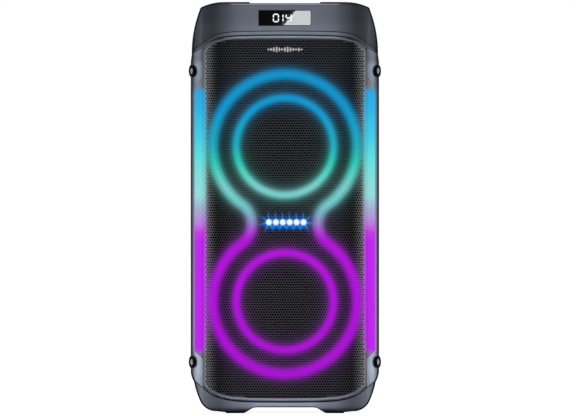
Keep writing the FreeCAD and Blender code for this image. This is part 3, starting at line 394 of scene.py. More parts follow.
def light_guide_material(name, ramp, strength, lit_range=None):
    """Frosted light guide in the colours of its height; silver outside its lit range of heights."""
    material, tree, shader = new_surface(name)
    level = spread(tree, noise(tree, 45.0), 0.94 * strength, 1.04 * strength)
    if lit_range:
        low, high = lit_range
        z = height_of(tree)
        lit = calculate(tree, "MULTIPLY", step_between(tree, z, low - 0.006, low + 0.010),
                        step_between(tree, z, high + 0.006, high - 0.010))
        level = calculate(tree, "MULTIPLY", level, lit)
        unlit = calculate(tree, "SUBTRACT", 1.0, lit)
        feed(tree, shader, {
            "Base Color": mix_colours(tree, lit, (0.42, 0.45, 0.50), (0.02, 0.02, 0.025)),
            "Metallic": calculate(tree, "MULTIPLY", unlit, 0.9),
        })
    else:
        feed(tree, shader, {"Base Color": mix_colours(tree, noise(tree, 220.0), (0.03, 0.03, 0.035),
                                                      (0.06, 0.06, 0.07))})
    feed(tree, shader, {
        "Emission Color": scaled_colour(tree, height_ramp(tree, ramp), level),
        "Emission Strength": 1.0, "Specular IOR Level": 0.2,
        "Roughness": spread(tree, noise(tree, 80.0), 0.30, 0.42),
    })
    bump(tree, shader, noise(tree, 1400.0), 0.2, 0.00003)
    return material


def strobe_light(tree):
    """Emission of the six bright lights, and how strong it is: cores, blue haze, thin rays."""
    place = split_place(tree)
    x = calculate(tree, "SUBTRACT", place["X"], STROBE_SHIFT)
    up = calculate(tree, "SUBTRACT", place["Z"], STROBE_HEIGHT)
    across = calculate(tree, "SUBTRACT", x, nearest_strobe(tree, x))
    distance = length_of(tree, across, up)
    past = calculate(tree, "SUBTRACT", calculate(tree, "ABSOLUTE", x), STROBE_PITCH * 2.5)
    row_distance = length_of(tree, calculate(tree, "MAXIMUM", past, 0.0), up)
    core = step_between(tree, distance, 0.0064, 0.0030)
    angle = calculate(tree, "ARCTAN2", up, across)
    wave = calculate(tree, "ABSOLUTE", calculate(tree, "COSINE", calculate(
        tree, "MULTIPLY_ADD", angle, 3.5, 0.6)))
    ray = calculate(tree, "MULTIPLY", calculate(tree, "POWER", wave, 14.0),
                    step_between(tree, distance, 0.0200, 0.0045))
    below = step_between(tree, up, 0.004, -0.004)
    fade = calculate(tree, "POWER", step_between(tree, row_distance, 0.0175, 0.0035), 1.9)
    haze = calculate(tree, "MULTIPLY", spread(tree, below, 0.45, 0.9), fade)
    blue = calculate(tree, "ADD", haze, calculate(tree, "MULTIPLY", ray, 1.2))
    level = calculate(tree, "MAXIMUM", core, calculate(tree, "MULTIPLY", blue, 2.0))
    glow = add(tree, "ShaderNodeVectorMath", operation="SCALE")
    glow.inputs[0].default_value = paint(22, 118, 216)
    feed(tree, glow, {"Scale": blue})
    return mix_colours(tree, core, glow.outputs[0], (0.84, 0.98, 1.0)), level


def nearest_strobe(tree, x):
    """Place of the nearest of the six lights, from the middle of their row."""
    shifted = calculate(tree, "ADD", x, STROBE_PITCH * 3)
    limited = calculate(tree, "MINIMUM", calculate(tree, "MAXIMUM", shifted, 0.0),
                        STROBE_PITCH * 6 - 0.00001)
    cell = calculate(tree, "FLOOR", calculate(tree, "DIVIDE", limited, STROBE_PITCH))
    return calculate(tree, "MULTIPLY_ADD", cell, STROBE_PITCH, -STROBE_PITCH * 2.5)


def length_of(tree, across, up):
    """Length of a flat offset."""
    square = calculate(tree, "ADD", calculate(tree, "MULTIPLY", across, across),
                       calculate(tree, "MULTIPLY", up, up))
    return calculate(tree, "SQRT", square)


def glowing_surface(name, middle, side, roughness, metallic, grain, specular=0.5):
    """Surface near the light loops: paint with a painted highlight that grows to the sides, and the
    light on it.
    """
    material, tree, shader = new_surface(name)
    # Painted highlight towards the sides: the colour turns from the middle one to the side one; the
    # same mask roughens the surface and lowers its metal there.
    side_highlight_and_gloss = step_between(tree, across_of(tree), 0.110, 0.136)
    base = mix_colours(tree, side_highlight_and_gloss, middle, side)
    worn = mix_colours(tree, spread(tree, noise(tree, 12.0), 0.0, 0.35), base, (0.0, 0.0, 0.0))
    spill = add(tree, "ShaderNodeAttribute", attribute_name="glow").outputs
    strobe, strobe_level = strobe_light(tree)
    lit = calculate(tree, "MAXIMUM", spill["Alpha"], strobe_level)
    uneven = spread(tree, noise(tree, 70.0), roughness - 0.05, roughness + 0.07)
    feed(tree, shader, {
        "Base Color": mix_colours(tree, lit, worn, (0.005, 0.005, 0.005)),
        "Roughness": calculate(tree, "MULTIPLY_ADD", side_highlight_and_gloss, 0.20, uneven),
        "Metallic": spread(tree, side_highlight_and_gloss, metallic, metallic * 0.55),
        "Specular IOR Level": specular,
        "Emission Color": vector_math(tree, "ADD", spill["Color"], strobe),
        "Emission Strength": 1.0,
    })
    bump(tree, shader, noise(tree, grain, 2.0), 0.3, 0.00003)
    return material


# ---------------------------------------------------------------- mesh helpers

def add_piece(name, mesh, material, body):
    """Object of a mesh that rides on a body."""
    piece = bpy.data.objects.new(name, mesh)
    bpy.context.collection.objects.link(piece)
    mesh.materials.append(material)
    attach(piece, body)
    return piece


def mesh_piece(name, vertices, faces, material, smooth=False):
    """Object from vertices and faces, fixed to the cabinet."""
    mesh = bpy.data.meshes.new(name)
    mesh.from_pydata(vertices, [], faces)
    mesh.update()
    for polygon in mesh.polygons:
        polygon.use_smooth = smooth
    return add_piece(name, mesh, material, "cabinet")


def bmesh_piece(name, build, material, body="cabinet"):
    """Object made by a function that fills a bmesh."""
    mesh = bpy.data.meshes.new(name)
    work = bmesh.new()
    build(work)
    bmesh.ops.recalc_face_normals(work, faces=work.faces)
    work.to_mesh(mesh)
    work.free()
    return add_piece(name, mesh, material, body)


def colour_glow(mesh):
    """Store the light that spills on each vertex."""
    layer = mesh.attributes.new("glow", "FLOAT_COLOR", "POINT")
    values = []
    for vertex in mesh.vertices:
        values.extend(glow_at(vertex.co.x, vertex.co.z))
    layer.data.foreach_set("color", values)


def flat_map(mesh, arcs):
    """Unwrapped layout of a wrapped sheet: arc length across, height up."""
    layer = mesh.uv_layers.new(name="OFBake")
    values = []
    for loop in mesh.loops:
        z = mesh.vertices[loop.vertex_index].co.z
        values.extend((0.5 + arcs[loop.vertex_index] / 0.70, 0.02 + z / 0.70))
    layer.data.foreach_set("uv", values)


# ---------------------------------------------------------------- grille

def grille_cell(arc, z, limit):
    """Six boundary points of a cell in (arc, z), kept inside the grille's outline."""
    half, row = HOLE_PITCH / 2, ROW_PITCH / 2
    points = []
    for step, rise in ((-1, -1), (0, -1), (1, -1), (1, 1), (0, 1), (-1, 1)):
        s = max(-limit, min(limit, arc + step * half))
        x = face_point(s, GRILLE_INSET)[0]
        height = min(z + rise * row, along(GRILLE_TOP, x))
        points.append((s, max(height, along(GRILLE_BOTTOM, x))))
    return points


def is_open(arc, z):
    """Whether the sheet has a hole at this place."""
    x = face_point(arc, GRILLE_INSET)[0]
    margin = HOLE_RADIUS + 0.0001
    if abs(x) > PERFORATED_HALF - HOLE_RADIUS:
        return False
    return along(HOLES_BOTTOM, x) + margin < z < along(HOLES_TOP, x) - margin


class SheetPoints:
    """Vertices of the wrapped sheet, with the arc length of each; cell corners are shared."""

    def __init__(self):
        self.vertices = []
        self.arcs = []
        self.corners = {}

    def add(self, s, z, depth=0.0):
        """New vertex at a depth behind the sheet's face; gives its number."""
        x, y, nx, ny = face_point(s, GRILLE_INSET)
        self.vertices.append((x - nx * depth, y - ny * depth, z))
        self.arcs.append(s)
        return len(self.vertices) - 1

    def corner(self, s, z):
        """Shared vertex at a cell's corner; gives its number."""
        key = (round(s, 6), round(z, 6))
        if key not in self.corners:
            self.corners[key] = self.add(s, z)
        return self.corners[key]


def cell_outline(points, ring):
    """Vertex numbers around a cell, without repeats, or nothing for a cell with no area."""
    heights = [z for _, z in ring]
    if ring[2][0] - ring[0][0] < SMALLEST_CELL or max(heights) - min(heights) < SMALLEST_CELL:
        return []
    outer = []
    for s, z in ring:
        number = points.corner(s, z)
        if not outer or number != outer[-1]:
            outer.append(number)
    if outer[0] == outer[-1]:
        outer.pop()
    return outer if 3 <= len(set(outer)) == len(outer) else []


def hole_faces(points, outer, arc, z):
    """Faces between a cell's six points and its hole's eight, and the walls of the hole."""
    front, back = [], []
    for number in range(HOLE_SIDES):
        turn = math.tau * (number + 0.5) / HOLE_SIDES
        s = arc + HOLE_RADIUS * math.cos(turn)
        height = z + HOLE_RADIUS * math.sin(turn)
        front.append(points.add(s, height))
        back.append(points.add(s, height, SHEET_THICK))
    low_left, low, low_right, high_right, high, high_left = outer
    around = [
        (low_right, high_right, front[0], front[7]),
        (high_right, high, front[1], front[0]),
        (high, front[2], front[1]),
        (high, high_left, front[3], front[2]),
        (high_left, low_left, front[4], front[3]),
        (low_left, low, front[5], front[4]),
        (low, front[6], front[5]),
        (low, low_right, front[7], front[6]),
    ]
    walls = []
    for number in range(HOLE_SIDES):
        after = (number + 1) % HOLE_SIDES
        walls.append((front[number], front[after], back[after], back[number]))
    return around, walls


def build_grille(name, low_row, high_row, material, wall_shade_material):
    """Perforated sheet between two rows of holes, with real hole walls and edges."""
    limit = arc_at(GRILLE_HALF, GRILLE_INSET)
    columns = int(limit / HOLE_PITCH) + 2
    points, faces, walls = SheetPoints(), [], []
    for row in range(low_row, high_row):
        z = WAIST + (row + 0.5) * ROW_PITCH
        shift = 0.25 if row % 2 else -0.25
        for column in range(-columns, columns + 1):
            arc = (column + shift) * HOLE_PITCH
            ring = grille_cell(arc, z, limit)
            outer = cell_outline(points, ring)
            whole = len(outer) == 6 and abs(ring[1][0] - ring[0][0] - HOLE_PITCH / 2) < 1e-7
            if whole and is_open(arc, z):
                around, inside = hole_faces(points, outer, arc, z)
                faces += around
                walls += inside
            elif outer:
                faces.append(outer)
    piece = mesh_piece(name, points.vertices, faces + walls, material)
    # The hole walls take the second, near-black material: painted shade inside the holes.
    piece.data.materials.append(wall_shade_material)
    for polygon in piece.data.polygons[len(faces):]:
        polygon.material_index = 1
    add_edge_walls(piece.data, points.arcs)
    colour_glow(piece.data)
    flat_map(piece.data, points.arcs)
    return piece


def add_edge_walls(mesh, arcs):
    """Turn the sheet's outer edge inwards by the sheet's thickness, and add to the arc lengths."""
    work = bmesh.new()
    work.from_mesh(mesh)
    count = len(arcs)
    # The faces around the holes are smaller than this, so only the outline's edges are taken.
    outline = [edge for edge in work.edges
               if edge.is_boundary and edge.calc_length() > SHORTEST_EDGE
               and all(any(face.calc_area() > HOLE_FACE_AREA for face in corner.link_faces)
                       for corner in edge.verts)]
    bmesh.ops.extrude_edge_only(work, edges=outline)
    for vertex in list(work.verts)[count:]:
        others = [edge.other_vert(vertex).index for edge in vertex.link_edges]
        arc = next(arcs[number] for number in others if 0 <= number < count)
        _, _, nx, ny = face_point(arc, GRILLE_INSET)
        vertex.co.x -= nx * SHEET_THICK
        vertex.co.y -= ny * SHEET_THICK
        arcs.append(arc)
    work.to_mesh(mesh)
    work.free()


def build_scrim(material):
    """Acoustic cloth just behind the sheet; it carries the spilled light through the holes."""
    limit = arc_at(GRILLE_HALF - 0.0012, SCRIM_INSET)
    across, rows = 130, 290
    vertices, arcs, faces = [], [], []
    for row in range(rows + 1):
        for column in range(across + 1):
            s = limit * (2 * column / across - 1)
            x, y, _, _ = face_point(s, SCRIM_INSET)
            low, high = along(GRILLE_BOTTOM, x) + 0.002, along(GRILLE_TOP, x) - 0.002
            vertices.append((x, y, low + (high - low) * row / rows))
            arcs.append(s)
    for row in range(rows):
        for column in range(across):
            first = row * (across + 1) + column
            faces.append((first, first + 1, first + across + 2, first + across + 1))
    piece = mesh_piece("grille_scrim", vertices, faces, material, smooth=True)
    colour_glow(piece.data)
    flat_map(piece.data, arcs)
    return piece


def build_lip(name, curve, offset, material):
    """Rounded bead on the sheet along one end of its perforation."""
    limit = arc_at(GRILLE_HALF, GRILLE_INSET)
    steps, sides, half, tall = 160, 8, 0.0020, 0.0011
    vertices, faces = [], []
    for step in range(steps + 1):
        s = limit * (2 * step / steps - 1)
        x = face_point(s, GRILLE_INSET)[0]
        slope = (along(curve, abs(x) + 0.001) - along(curve, abs(x))) / 0.001 * math.copysign(1, x)
        lean = 1 / math.hypot(1, slope)
        middle = along(curve, x) + offset
        for side in range(sides + 1):
            turn = math.pi * side / sides
            shift = half * math.cos(turn)
            x, y, nx, ny = face_point(s - shift * slope * lean, GRILLE_INSET)
            rise = tall * math.sin(turn)
            vertices.append((x + nx * rise, y + ny * rise, middle + shift * lean))
    for step in range(steps):
        for side in range(sides):
            first = step * (sides + 1) + side
            faces.append((first, first + 1, first + sides + 2, first + sides + 1))
    return mesh_piece(name, vertices, faces, material, smooth=True)


def build_front():
    """Perforated grille in two stacked sheets, its two lips, and the cloth behind it."""
    # The white side colour is a painted highlight on the webs towards the sides.
    metal = glowing_surface("grille_metal", (0.135, 0.138, 0.150), (1.0, 1.0, 1.0), 0.40, 0.9,
                            1500.0)
    # Near-black hole walls: painted shade, as the walls are the sheet's own paint.
    hole_wall_shade = glowing_surface("grille_hole_wall_shade", (0.004, 0.004, 0.004), (0.006, 0.006, 0.007),
                              0.8, 0.0, 1500.0, 0.05)
    cloth = glowing_surface("grille_cloth", (0.001, 0.001, 0.001), (0.001, 0.001, 0.001), 0.95,
                            0.0, 2600.0, 0.0)
    half = math.ceil((WAIST - 0.018) / ROW_PITCH)
    lower = build_grille("grille_sheet_lower", -half, 0, metal, hole_wall_shade)
    upper = build_grille("grille_sheet_upper", 0, half + 5, metal, hole_wall_shade)
    for sheet in (lower, upper):
        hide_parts("grille")
    build_scrim(cloth)
    # The lips' lacquer carries painted highlights by height and painted shade towards the sides.
    paint_coat = metallic_paint("lip_paint", [(.020, .64), (.600, .50), (.612, .60), (.626, .76)],
                                [(0, 1), (.070, .9), (.140, .6)])
    build_lip("grille_lip_upper", GRILLE_TOP, -0.0040, paint_coat)
    build_lip("grille_lip_lower", GRILLE_BOTTOM, 0.0034, paint_coat)


# ---------------------------------------------------------------- materials on the CAD nodes

# Plain finishes, with the settings in finish_material's order: colour, roughness, metallic,
# variation, grain scale, grain depth, grain strength, patch scale and coat.
PLAIN_FINISHES = {
    "pin_steel": ((0.90, 0.91, 0.93), 0.55, 0.7, 0.05, 700, 0.00001, 0.3),
    "plated_steel": ((0.36, 0.36, 0.37), 0.35, 1.0, 0.1),
    "solder_mask": ((0.012, 0.09, 0.04), 0.35, 0.0, 0.2, 300, 0.0001, 0.4, 60.0),
    "cone_paper": ((0.016, 0.016, 0.018), 0.62, 0.0, 0.25, 700, 0.00015, 0.6),
    "dust_cap_gloss": ((0.02, 0.02, 0.022), 0.25),
    "coil_copper": ((0.52, 0.22, 0.09), 0.3, 0.9, 0.15, 1800, 0.00005, 0.8),
    "soft_rubber": ((0.012, 0.012, 0.012), 0.75, 0.0, 0.15, 800),
    "spider_cloth": ((0.40, 0.30, 0.08), 0.9, 0.0, 0.2, 1600, 0.0002, 0.8),
    "dome_silk": ((0.03, 0.03, 0.04), 0.5, 0.0, 0.2, 2200, 0.0001, 0.6),
    "reflector_chrome": ((0.8, 0.82, 0.85), 0.1, 1.0, 0.04),
    "gloss_black": ((0.008, 0.008, 0.009), 0.12, 0.0, 0.1, 300, 0.00001, 0.1, 6.0, 0.4),
    "moulded_black": ((0.014, 0.014, 0.015), 0.42, 0.0, 0.15, 600),
    "badge_chrome": ((0.72, 0.74, 0.78), 0.16, 1.0, 0.05),
    "button_rubber": ((0.07, 0.073, 0.078), 0.6, 0.0, 0.12, 900),
    "anodised_black": ((0.03, 0.03, 0.032), 0.38, 0.85, 0.15, 1200),
    "battery_wrap": ((0.02, 0.06, 0.18), 0.25, 0.0, 0.1),
    "wire_sleeve": ((0.22, 0.01, 0.01), 0.45),
}

# The CAD nodes that wear each plain finish; a star stands for both woofers or both sides.
WEARERS = {
    "pin_steel": ["corner_boss_pins"],
    "plated_steel": ["driver_magnets", "rear_sockets", "panel_screws"],
    "solder_mask": ["led_boards", "amplifier_board"],
    "cone_paper": ["woofer_*_cone"], "dust_cap_gloss": ["woofer_*_dust_cap"],
    "coil_copper": ["woofer_*_voice_coil"], "soft_rubber": ["woofer_*_surround", "rubber_feet"],
    "spider_cloth": ["woofer_*_spider"], "dome_silk": ["tweeter_*_dome"],
    "reflector_chrome": ["strobe_housing", "strobe_lenses"],
    "gloss_black": ["control_panel", "power_rocker"],
    "moulded_black": ["woofer_*_basket", "tweeter_plates", "volume_dial", "rear_panel",
                      "microphone_dial", "guitar_dial", "power_entry", "bass_port_tubes",
                      "rear_handle"],
    "badge_chrome": ["badge"], "button_rubber": ["*_button"], "anodised_black": ["heat_sink"],
    "battery_wrap": ["battery_pack"], "wire_sleeve": ["speaker_wires"],
}


def wear(material, *patterns):
    """Put a material on the CAD nodes whose names match."""
    for name in sorted(NODES.keys()):
        if any(fnmatch(name, pattern) for pattern in patterns):
            NODES[name].data.materials.clear()
            NODES[name].data.materials.append(material)


def wear_paints():
    """Blue-grey lacquer of the cap, the base, the rib and the pillars, with painted shade and
    painted highlights by height and across.
    """
    # Cap: painted shade towards the outer edges and along the top rim.
    wear(metallic_paint(
        "cap_paint",
        [(.595, .33), (.637, .41), (.650, .34), (.662, .33), (.672, .33), (.678, .18)],
        [(0, 1), (.050, .97), (.070, .88), (.085, .78), (.104, .78), (.112, .72), (.120, .63),
         (.133, .62), (.138, .42), (.141, .25), (.145, .16), (.156, .08)]), "top_fascia")
    # Base: painted shade towards the bottom and the outer edges, and a painted highlight across the
    # middle.
    wear(metallic_paint(
        "base_paint",
        [(.000, .01), (.004, .02), (.008, .14), (.011, .30), (.016, .38), (.030, .42),
         (.060, .42)],
        [(0, 2.0), (.045, 1.9), (.058, 1.4), (.075, 1.1), (.090, 1.0), (.108, .9), (.120, 1.1),
         (.130, 1.35), (.137, 1.25), (.141, .7), (.145, .5), (.156, .1)]), "base_fascia")
    # Rib: painted shade towards the sides.
    wear(metallic_paint(
        "trim_paint", [(.590, .30), (.605, .34), (.628, .48)],
        [(0, 1), (.085, .9), (.133, .8), (.140, .45), (.150, .2)]), "top_trim")
    # Pillars: painted highlights and painted shade by height.
    wear(metallic_paint(
        "pillar_paint",
        [(.030, .70), (.055, .70), (.070, .85), (.100, .80), (.545, .40), (.562, .46),
         (.575, .50), (.585, .28), (.600, .34), (.612, .42)],
        [(.130, 1.0), (.147, 1.0), (.156, .8)], side_spill=0.30), "side_pillar_*")


def smoked_window():
    """Nearly black clear plastic with a faint haze of fine scratches."""
    material, tree, shader = new_surface("smoked_window")
    feed(tree, shader, {
        "Base Color": mix_colours(tree, noise(tree, 40.0), (0.001, 0.001, 0.0012),
                                  (0.003, 0.003, 0.0036)),
        "Roughness": spread(tree, noise(tree, 120.0), 0.012, 0.03),
        "Specular IOR Level": 0.03,
    })
    return material


def digit_light():
    """White light of the display's segments, slightly uneven."""
    material, tree, shader = new_surface("digit_light")
    feed(tree, shader, {
        "Base Color": (0.2, 0.2, 0.2), "Roughness": 0.4, "Emission Strength": 1.0,
        "Emission Color": mix_colours(tree, noise(tree, 400.0), (0.86, 0.93, 1.0),
                                      (1.0, 1.0, 1.0)),
    })
    return material


def dress_cad():
    """Put the finishes on the CAD nodes."""
    for name, settings in PLAIN_FINISHES.items():
        wear(finish_material(name, *settings), *WEARERS[name])
    wear(finish_material("cabinet_grain", (0.012, 0.0125, 0.014), 0.5, vary=0.12, grain=520,
                         grain_depth=0.00012, grain_strength=0.5, specular=0.25),
         "cabinet_shell", "cabinet_back")
    wear(finish_material("frame_black", (0.004, 0.004, 0.005), 0.6, specular=0.1),
         "front_frame", "front_baffle", "corner_boss_rings", "display_module")
    wear_paints()
    wear(light_guide_material("guide_glow", LOOP_RAMP, 1.0),
         "inner_ring_diffusers", "outer_light_diffuser")
    wear(light_guide_material("lens_glow", SIDE_RAMP, 0.95, (0.100, 0.538)), "side_light_lens_*")
    wear(smoked_window(), "display_window")
    wear(digit_light(), "display_segments")


# ---------------------------------------------------------------- display

def build_digits():
    """Three seven-segment figures with pointed bars, on the face of the smoked window."""
    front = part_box("display_window")[0][1] - 0.0001
    middle = sum(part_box("display_window")[side][2] for side in (0, 1)) / 2
    wide, tall, stroke = 0.0082, 0.0122, 0.0020
    level, side = tall / 2, wide / 2
    bars = {
        "a": ((-side, level), (side, level)), "g": ((-side, 0), (side, 0)),
        "d": ((-side, -level), (side, -level)), "b": ((side, 0), (side, level)),
        "c": ((side, -level), (side, 0)), "f": ((-side, 0), (-side, level)),
        "e": ((-side, -level), (-side, 0)),
    }

    def build(work):
        for centre, letters in ((-0.0148, "abcdef"), (-0.0072, "bc"), (0.0061, "bcfg")):
            for letter in letters:
                add_bar(work, bars[letter], centre, middle, stroke, front)

    piece = bmesh_piece("display_digits", build, digit_light())
    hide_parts("display_segments")


def add_bar(work, ends, centre, middle, stroke, front):
    """One pointed segment between two ends."""
    (x0, z0), (x1, z1) = ends
    length = math.hypot(x1 - x0, z1 - z0)
    ux, uz = (x1 - x0) / length, (z1 - z0) / length
    half = stroke / 2
    gap = 0.00035
    outline = [(gap, 0), (gap + half, half), (length - gap - half, half), (length - gap, 0),
               (length - gap - half, -half), (gap + half, -half)]
    points = []
    for run, off in outline:
        x = centre + x0 + ux * run - uz * off
        z = middle + z0 + uz * run + ux * off
        points.append((x, z))
    add_prism(work, [Vector((x, front, z)) for x, z in points], Vector((0, 0.0003, 0)))


# ---------------------------------------------------------------- printed marks and ridges

X, Y, Z = Vector((1, 0, 0)), Vector((0, 1, 0)), Vector((0, 0, 1))
ICON_HEIGHT = 0.00012
REAR_PANEL_FACE = 0.149
SCREW_FACE = 0.151
SCREW_SPOTS = [(side * 0.083, z) for side in (-1, 1) for z in (0.078, 0.180, 0.282)]
SCREW_SPOTS += [(0, 0.282), (0, 0.078)]
GRIP_Y, GRIP_Z = 0.144, 0.599
RIB_PITCH, RIB_WIDE = 0.0050, 0.0014


def add_prism(work, outline, lift):
    """Solid between a flat outline and the same outline moved by the lift."""
    near = [work.verts.new(point) for point in outline]
    far = [work.verts.new(point + lift) for point in outline]
    work.faces.new(near)
    work.faces.new(far[::-1])
    for number, point in enumerate(near):
        after = (number + 1) % len(near)
        work.faces.new((point, near[after], far[after], far[number]))


def add_frame(work, inner, outer, lift, closed=True):
    """Band between two outlines, with a rectangular section."""
    rings = [[work.verts.new(point) for point in (near, far, far + lift, near + lift)]
             for near, far in zip(inner, outer)]
    pairs = list(zip(rings, rings[1:]))
    if closed:
        pairs.append((rings[-1], rings[0]))
    else:
        work.faces.new(rings[0])
        work.faces.new(rings[-1])
    for one, two in pairs:
        for side in range(4):
            after = (side + 1) % 4
            work.faces.new((one[side], one[after], two[after], two[side]))


def arc_points(place, radius, start=0.0, stop=math.tau, steps=28):
    """Points around a place, a (centre, right, up) frame; a full circle leaves out its last one."""
    centre, right, up = place
    closed = abs(stop - start - math.tau) < 1e-6
    turns = [start + (stop - start) * step / steps for step in range(steps + (not closed))]
    return [centre + (right * math.cos(turn) + up * math.sin(turn)) * radius for turn in turns]


def add_ring(work, place, inner, outer, height, start=0.0, stop=math.tau):
    """Raised ring or arc on a surface."""
    lift = place[1].cross(place[2]) * height
    add_frame(work, arc_points(place, inner, start, stop), arc_points(place, outer, start, stop),
              lift, abs(stop - start - math.tau) < 1e-6)


def add_tick(work, place, turn, inner, outer, width, height):
    """Raised straight mark that points away from a centre."""
    centre, right, up = place
    away = right * math.cos(turn) + up * math.sin(turn)
    side = (up * math.cos(turn) - right * math.sin(turn)) * width / 2
    outline = [centre + away * inner - side, centre + away * outer - side,
               centre + away * outer + side, centre + away * inner + side]
    add_prism(work, outline, right.cross(up) * height)


def add_patch(work, place, points, height):
    """Raised flat shape from (right, up) points."""
    centre, right, up = place
    add_prism(work, [centre + right * a + up * b for a, b in points], right.cross(up) * height)


def dial_scale(work, place, inner, outer, width):
    """Eleven ticks around a dial, with a gap at the bottom."""
    for number in range(11):
        add_tick(work, place, math.radians(90 + 27 * (number - 5)), inner, outer, width, 0.00015)


def dial_ridges(work, place, count, inner, outer, height):
    """Grip ridges around a dial's edge."""
    for number in range(count):
        add_tick(work, place, math.tau * number / count, inner, outer,
                 0.45 * math.tau * outer / count, height)


def pairing_icon(work, place):
    """Two linked rings."""
    centre, right, up = place
    for side in (-1, 1):
        add_ring(work, (centre + right * side * 0.0012, right, up), 0.0013, 0.0018,
                 ICON_HEIGHT * (1 + 0.2 * side))


def bass_icon(work, place):
    """Three rising bars."""
    for number in range(3):
        left = -0.0022 + 0.0017 * number
        add_patch(work, place, [(left, -0.0018), (left + 0.0010, -0.0018),
                                (left + 0.0010, -0.0006 + 0.0012 * number),
                                (left, -0.0006 + 0.0012 * number)], ICON_HEIGHT)


def power_icon(work, place):
    """Open ring with a bar at its gap."""
    add_ring(work, place, 0.0018, 0.0023, ICON_HEIGHT, math.radians(125), math.radians(415))
    add_tick(work, place, math.radians(90), 0.0004, 0.0027, 0.0005, ICON_HEIGHT)


def light_icon(work, place):
    """Ring with eight rays."""
    add_ring(work, place, 0.0009, 0.0013, ICON_HEIGHT)
    for number in range(8):
        add_tick(work, place, math.tau * number / 8, 0.0018, 0.0027, 0.0004, ICON_HEIGHT)


def play_icon(work, place):
    """Triangle that points right."""
    add_patch(work, place, [(-0.0014, -0.0020), (0.0022, 0.0), (-0.0014, 0.0020)], ICON_HEIGHT)


def build_top_marks(print_white, ridge):
    """Scale and grip of the volume dial, and the buttons' icons."""
    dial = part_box("volume_dial")
    panel_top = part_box("control_panel")[1][2]
    middle = Vector(((dial[0][0] + dial[1][0]) / 2, (dial[0][1] + dial[1][1]) / 2, 0))
    scale = bmesh_piece("dial_ticks", lambda work: dial_scale(
        work, (middle + Z * panel_top, X, Y), 0.0268, 0.0298, 0.0007), print_white)
    grip = bmesh_piece("volume_knurl", lambda work: dial_ridges(
        work, (middle + Z * (dial[0][2] + 0.0004), X, Y), 48, 0.0236, 0.02425, 0.0034),
        ridge, "volume")
    icons = {"pairing": pairing_icon, "bass": bass_icon, "power": power_icon,
             "light": light_icon, "play": play_icon}
    for body, draw in icons.items():
        low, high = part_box(body + "_button")
        place = (Vector(((low[0] + high[0]) / 2, (low[1] + high[1]) / 2, high[2])), X, Y)
        icon = bmesh_piece(body + "_icon", lambda work: draw(work, place), print_white, body)


def build_rear_marks(print_white, ridge, cross_slot_shadow):
    """Scales and grips of the rear dials, the screws' cross slots as marks of painted shadow, and
    the ribs of the grip.
    """
    for body, node in (("microphone_level", "microphone_dial"), ("guitar_level", "guitar_dial")):
        low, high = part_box(node)
        middle = Vector(((low[0] + high[0]) / 2, 0, (low[2] + high[2]) / 2))
        scale = bmesh_piece(node + "_ticks", lambda work: dial_scale(
            work, (middle + Y * REAR_PANEL_FACE, -X, Z), 0.0096, 0.0112, 0.0005), print_white)
        grip = bmesh_piece(node + "_knurl", lambda work: dial_ridges(
            work, (middle + Y * (REAR_PANEL_FACE + 0.0012), -X, Z), 24, 0.0077, 0.0083, 0.0045),
            ridge, body)

    # The cross slots are thin raised near-black marks: painted shadow of recessed slots.
    def crosses(work):
        for x, z in SCREW_SPOTS:
            for turn in range(4):
                add_tick(work, (Vector((x, SCREW_FACE, z)), -X, Z), math.tau * turn / 4, 0.0002,
                         0.0022, 0.0007, 0.00006)

    def ribs(work):
        for number in range(-10, 11):
            start = Vector((number * RIB_PITCH - RIB_WIDE / 2, GRIP_Y, GRIP_Z))
            add_ring(work, (start, Y, Z), 0.0108, 0.01132, RIB_WIDE)

    bmesh_piece("screw_crosses", crosses, cross_slot_shadow)
    bmesh_piece("grip_ribs", ribs, ridge)


def rounded_outline(place, half_wide, half_tall, radius, steps=6):
    """Points of a rounded rectangle around a place."""
    centre, right, up = place
    points = []
    for corner, (side, level) in enumerate(((1, 1), (-1, 1), (-1, -1), (1, -1))):
        middle = centre + right * side * (half_wide - radius) + up * level * (half_tall - radius)
        for step in range(steps + 1):
            turn = math.tau / 4 * (corner + step / steps)
            points.append(middle + (right * math.cos(turn) + up * math.sin(turn)) * radius)
    return points


def build_bezel(material):
    """Thin raised rim around the display window."""
    low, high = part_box("display_window")
    centre = Vector(((low[0] + high[0]) / 2, low[1], (low[2] + high[2]) / 2))
    place = (centre, X, Z)
    half_wide, half_tall = (high[0] - low[0]) / 2, (high[2] - low[2]) / 2

    def build(work):
        add_frame(work, rounded_outline(place, half_wide - 0.0011, half_tall - 0.0011, 0.0012),
                  rounded_outline(place, half_wide - 0.0001, half_tall - 0.0001, 0.0020),
                  Y * -0.00012)

    bmesh_piece("display_bezel", build, material)


def build_marks():
    """Every small mark and ridge."""
    print_white = finish_material("legend_print", (0.62, 0.63, 0.65), 0.5, vary=0.06)
    ridge = finish_material("knurl_rubber", (0.018, 0.018, 0.019), 0.62, vary=0.15, grain=1400)
    cross_slot_shadow = finish_material("slot_shadow", (0.006, 0.006, 0.006), 0.7, specular=0.1)
    rim = finish_material("bezel_black", (0.004, 0.004, 0.005), 0.35, specular=0.3)
    build_top_marks(print_white, ridge)
    build_rear_marks(print_white, ridge, cross_slot_shadow)
    build_bezel(rim)


# ---------------------------------------------------------------- stage, light and camera

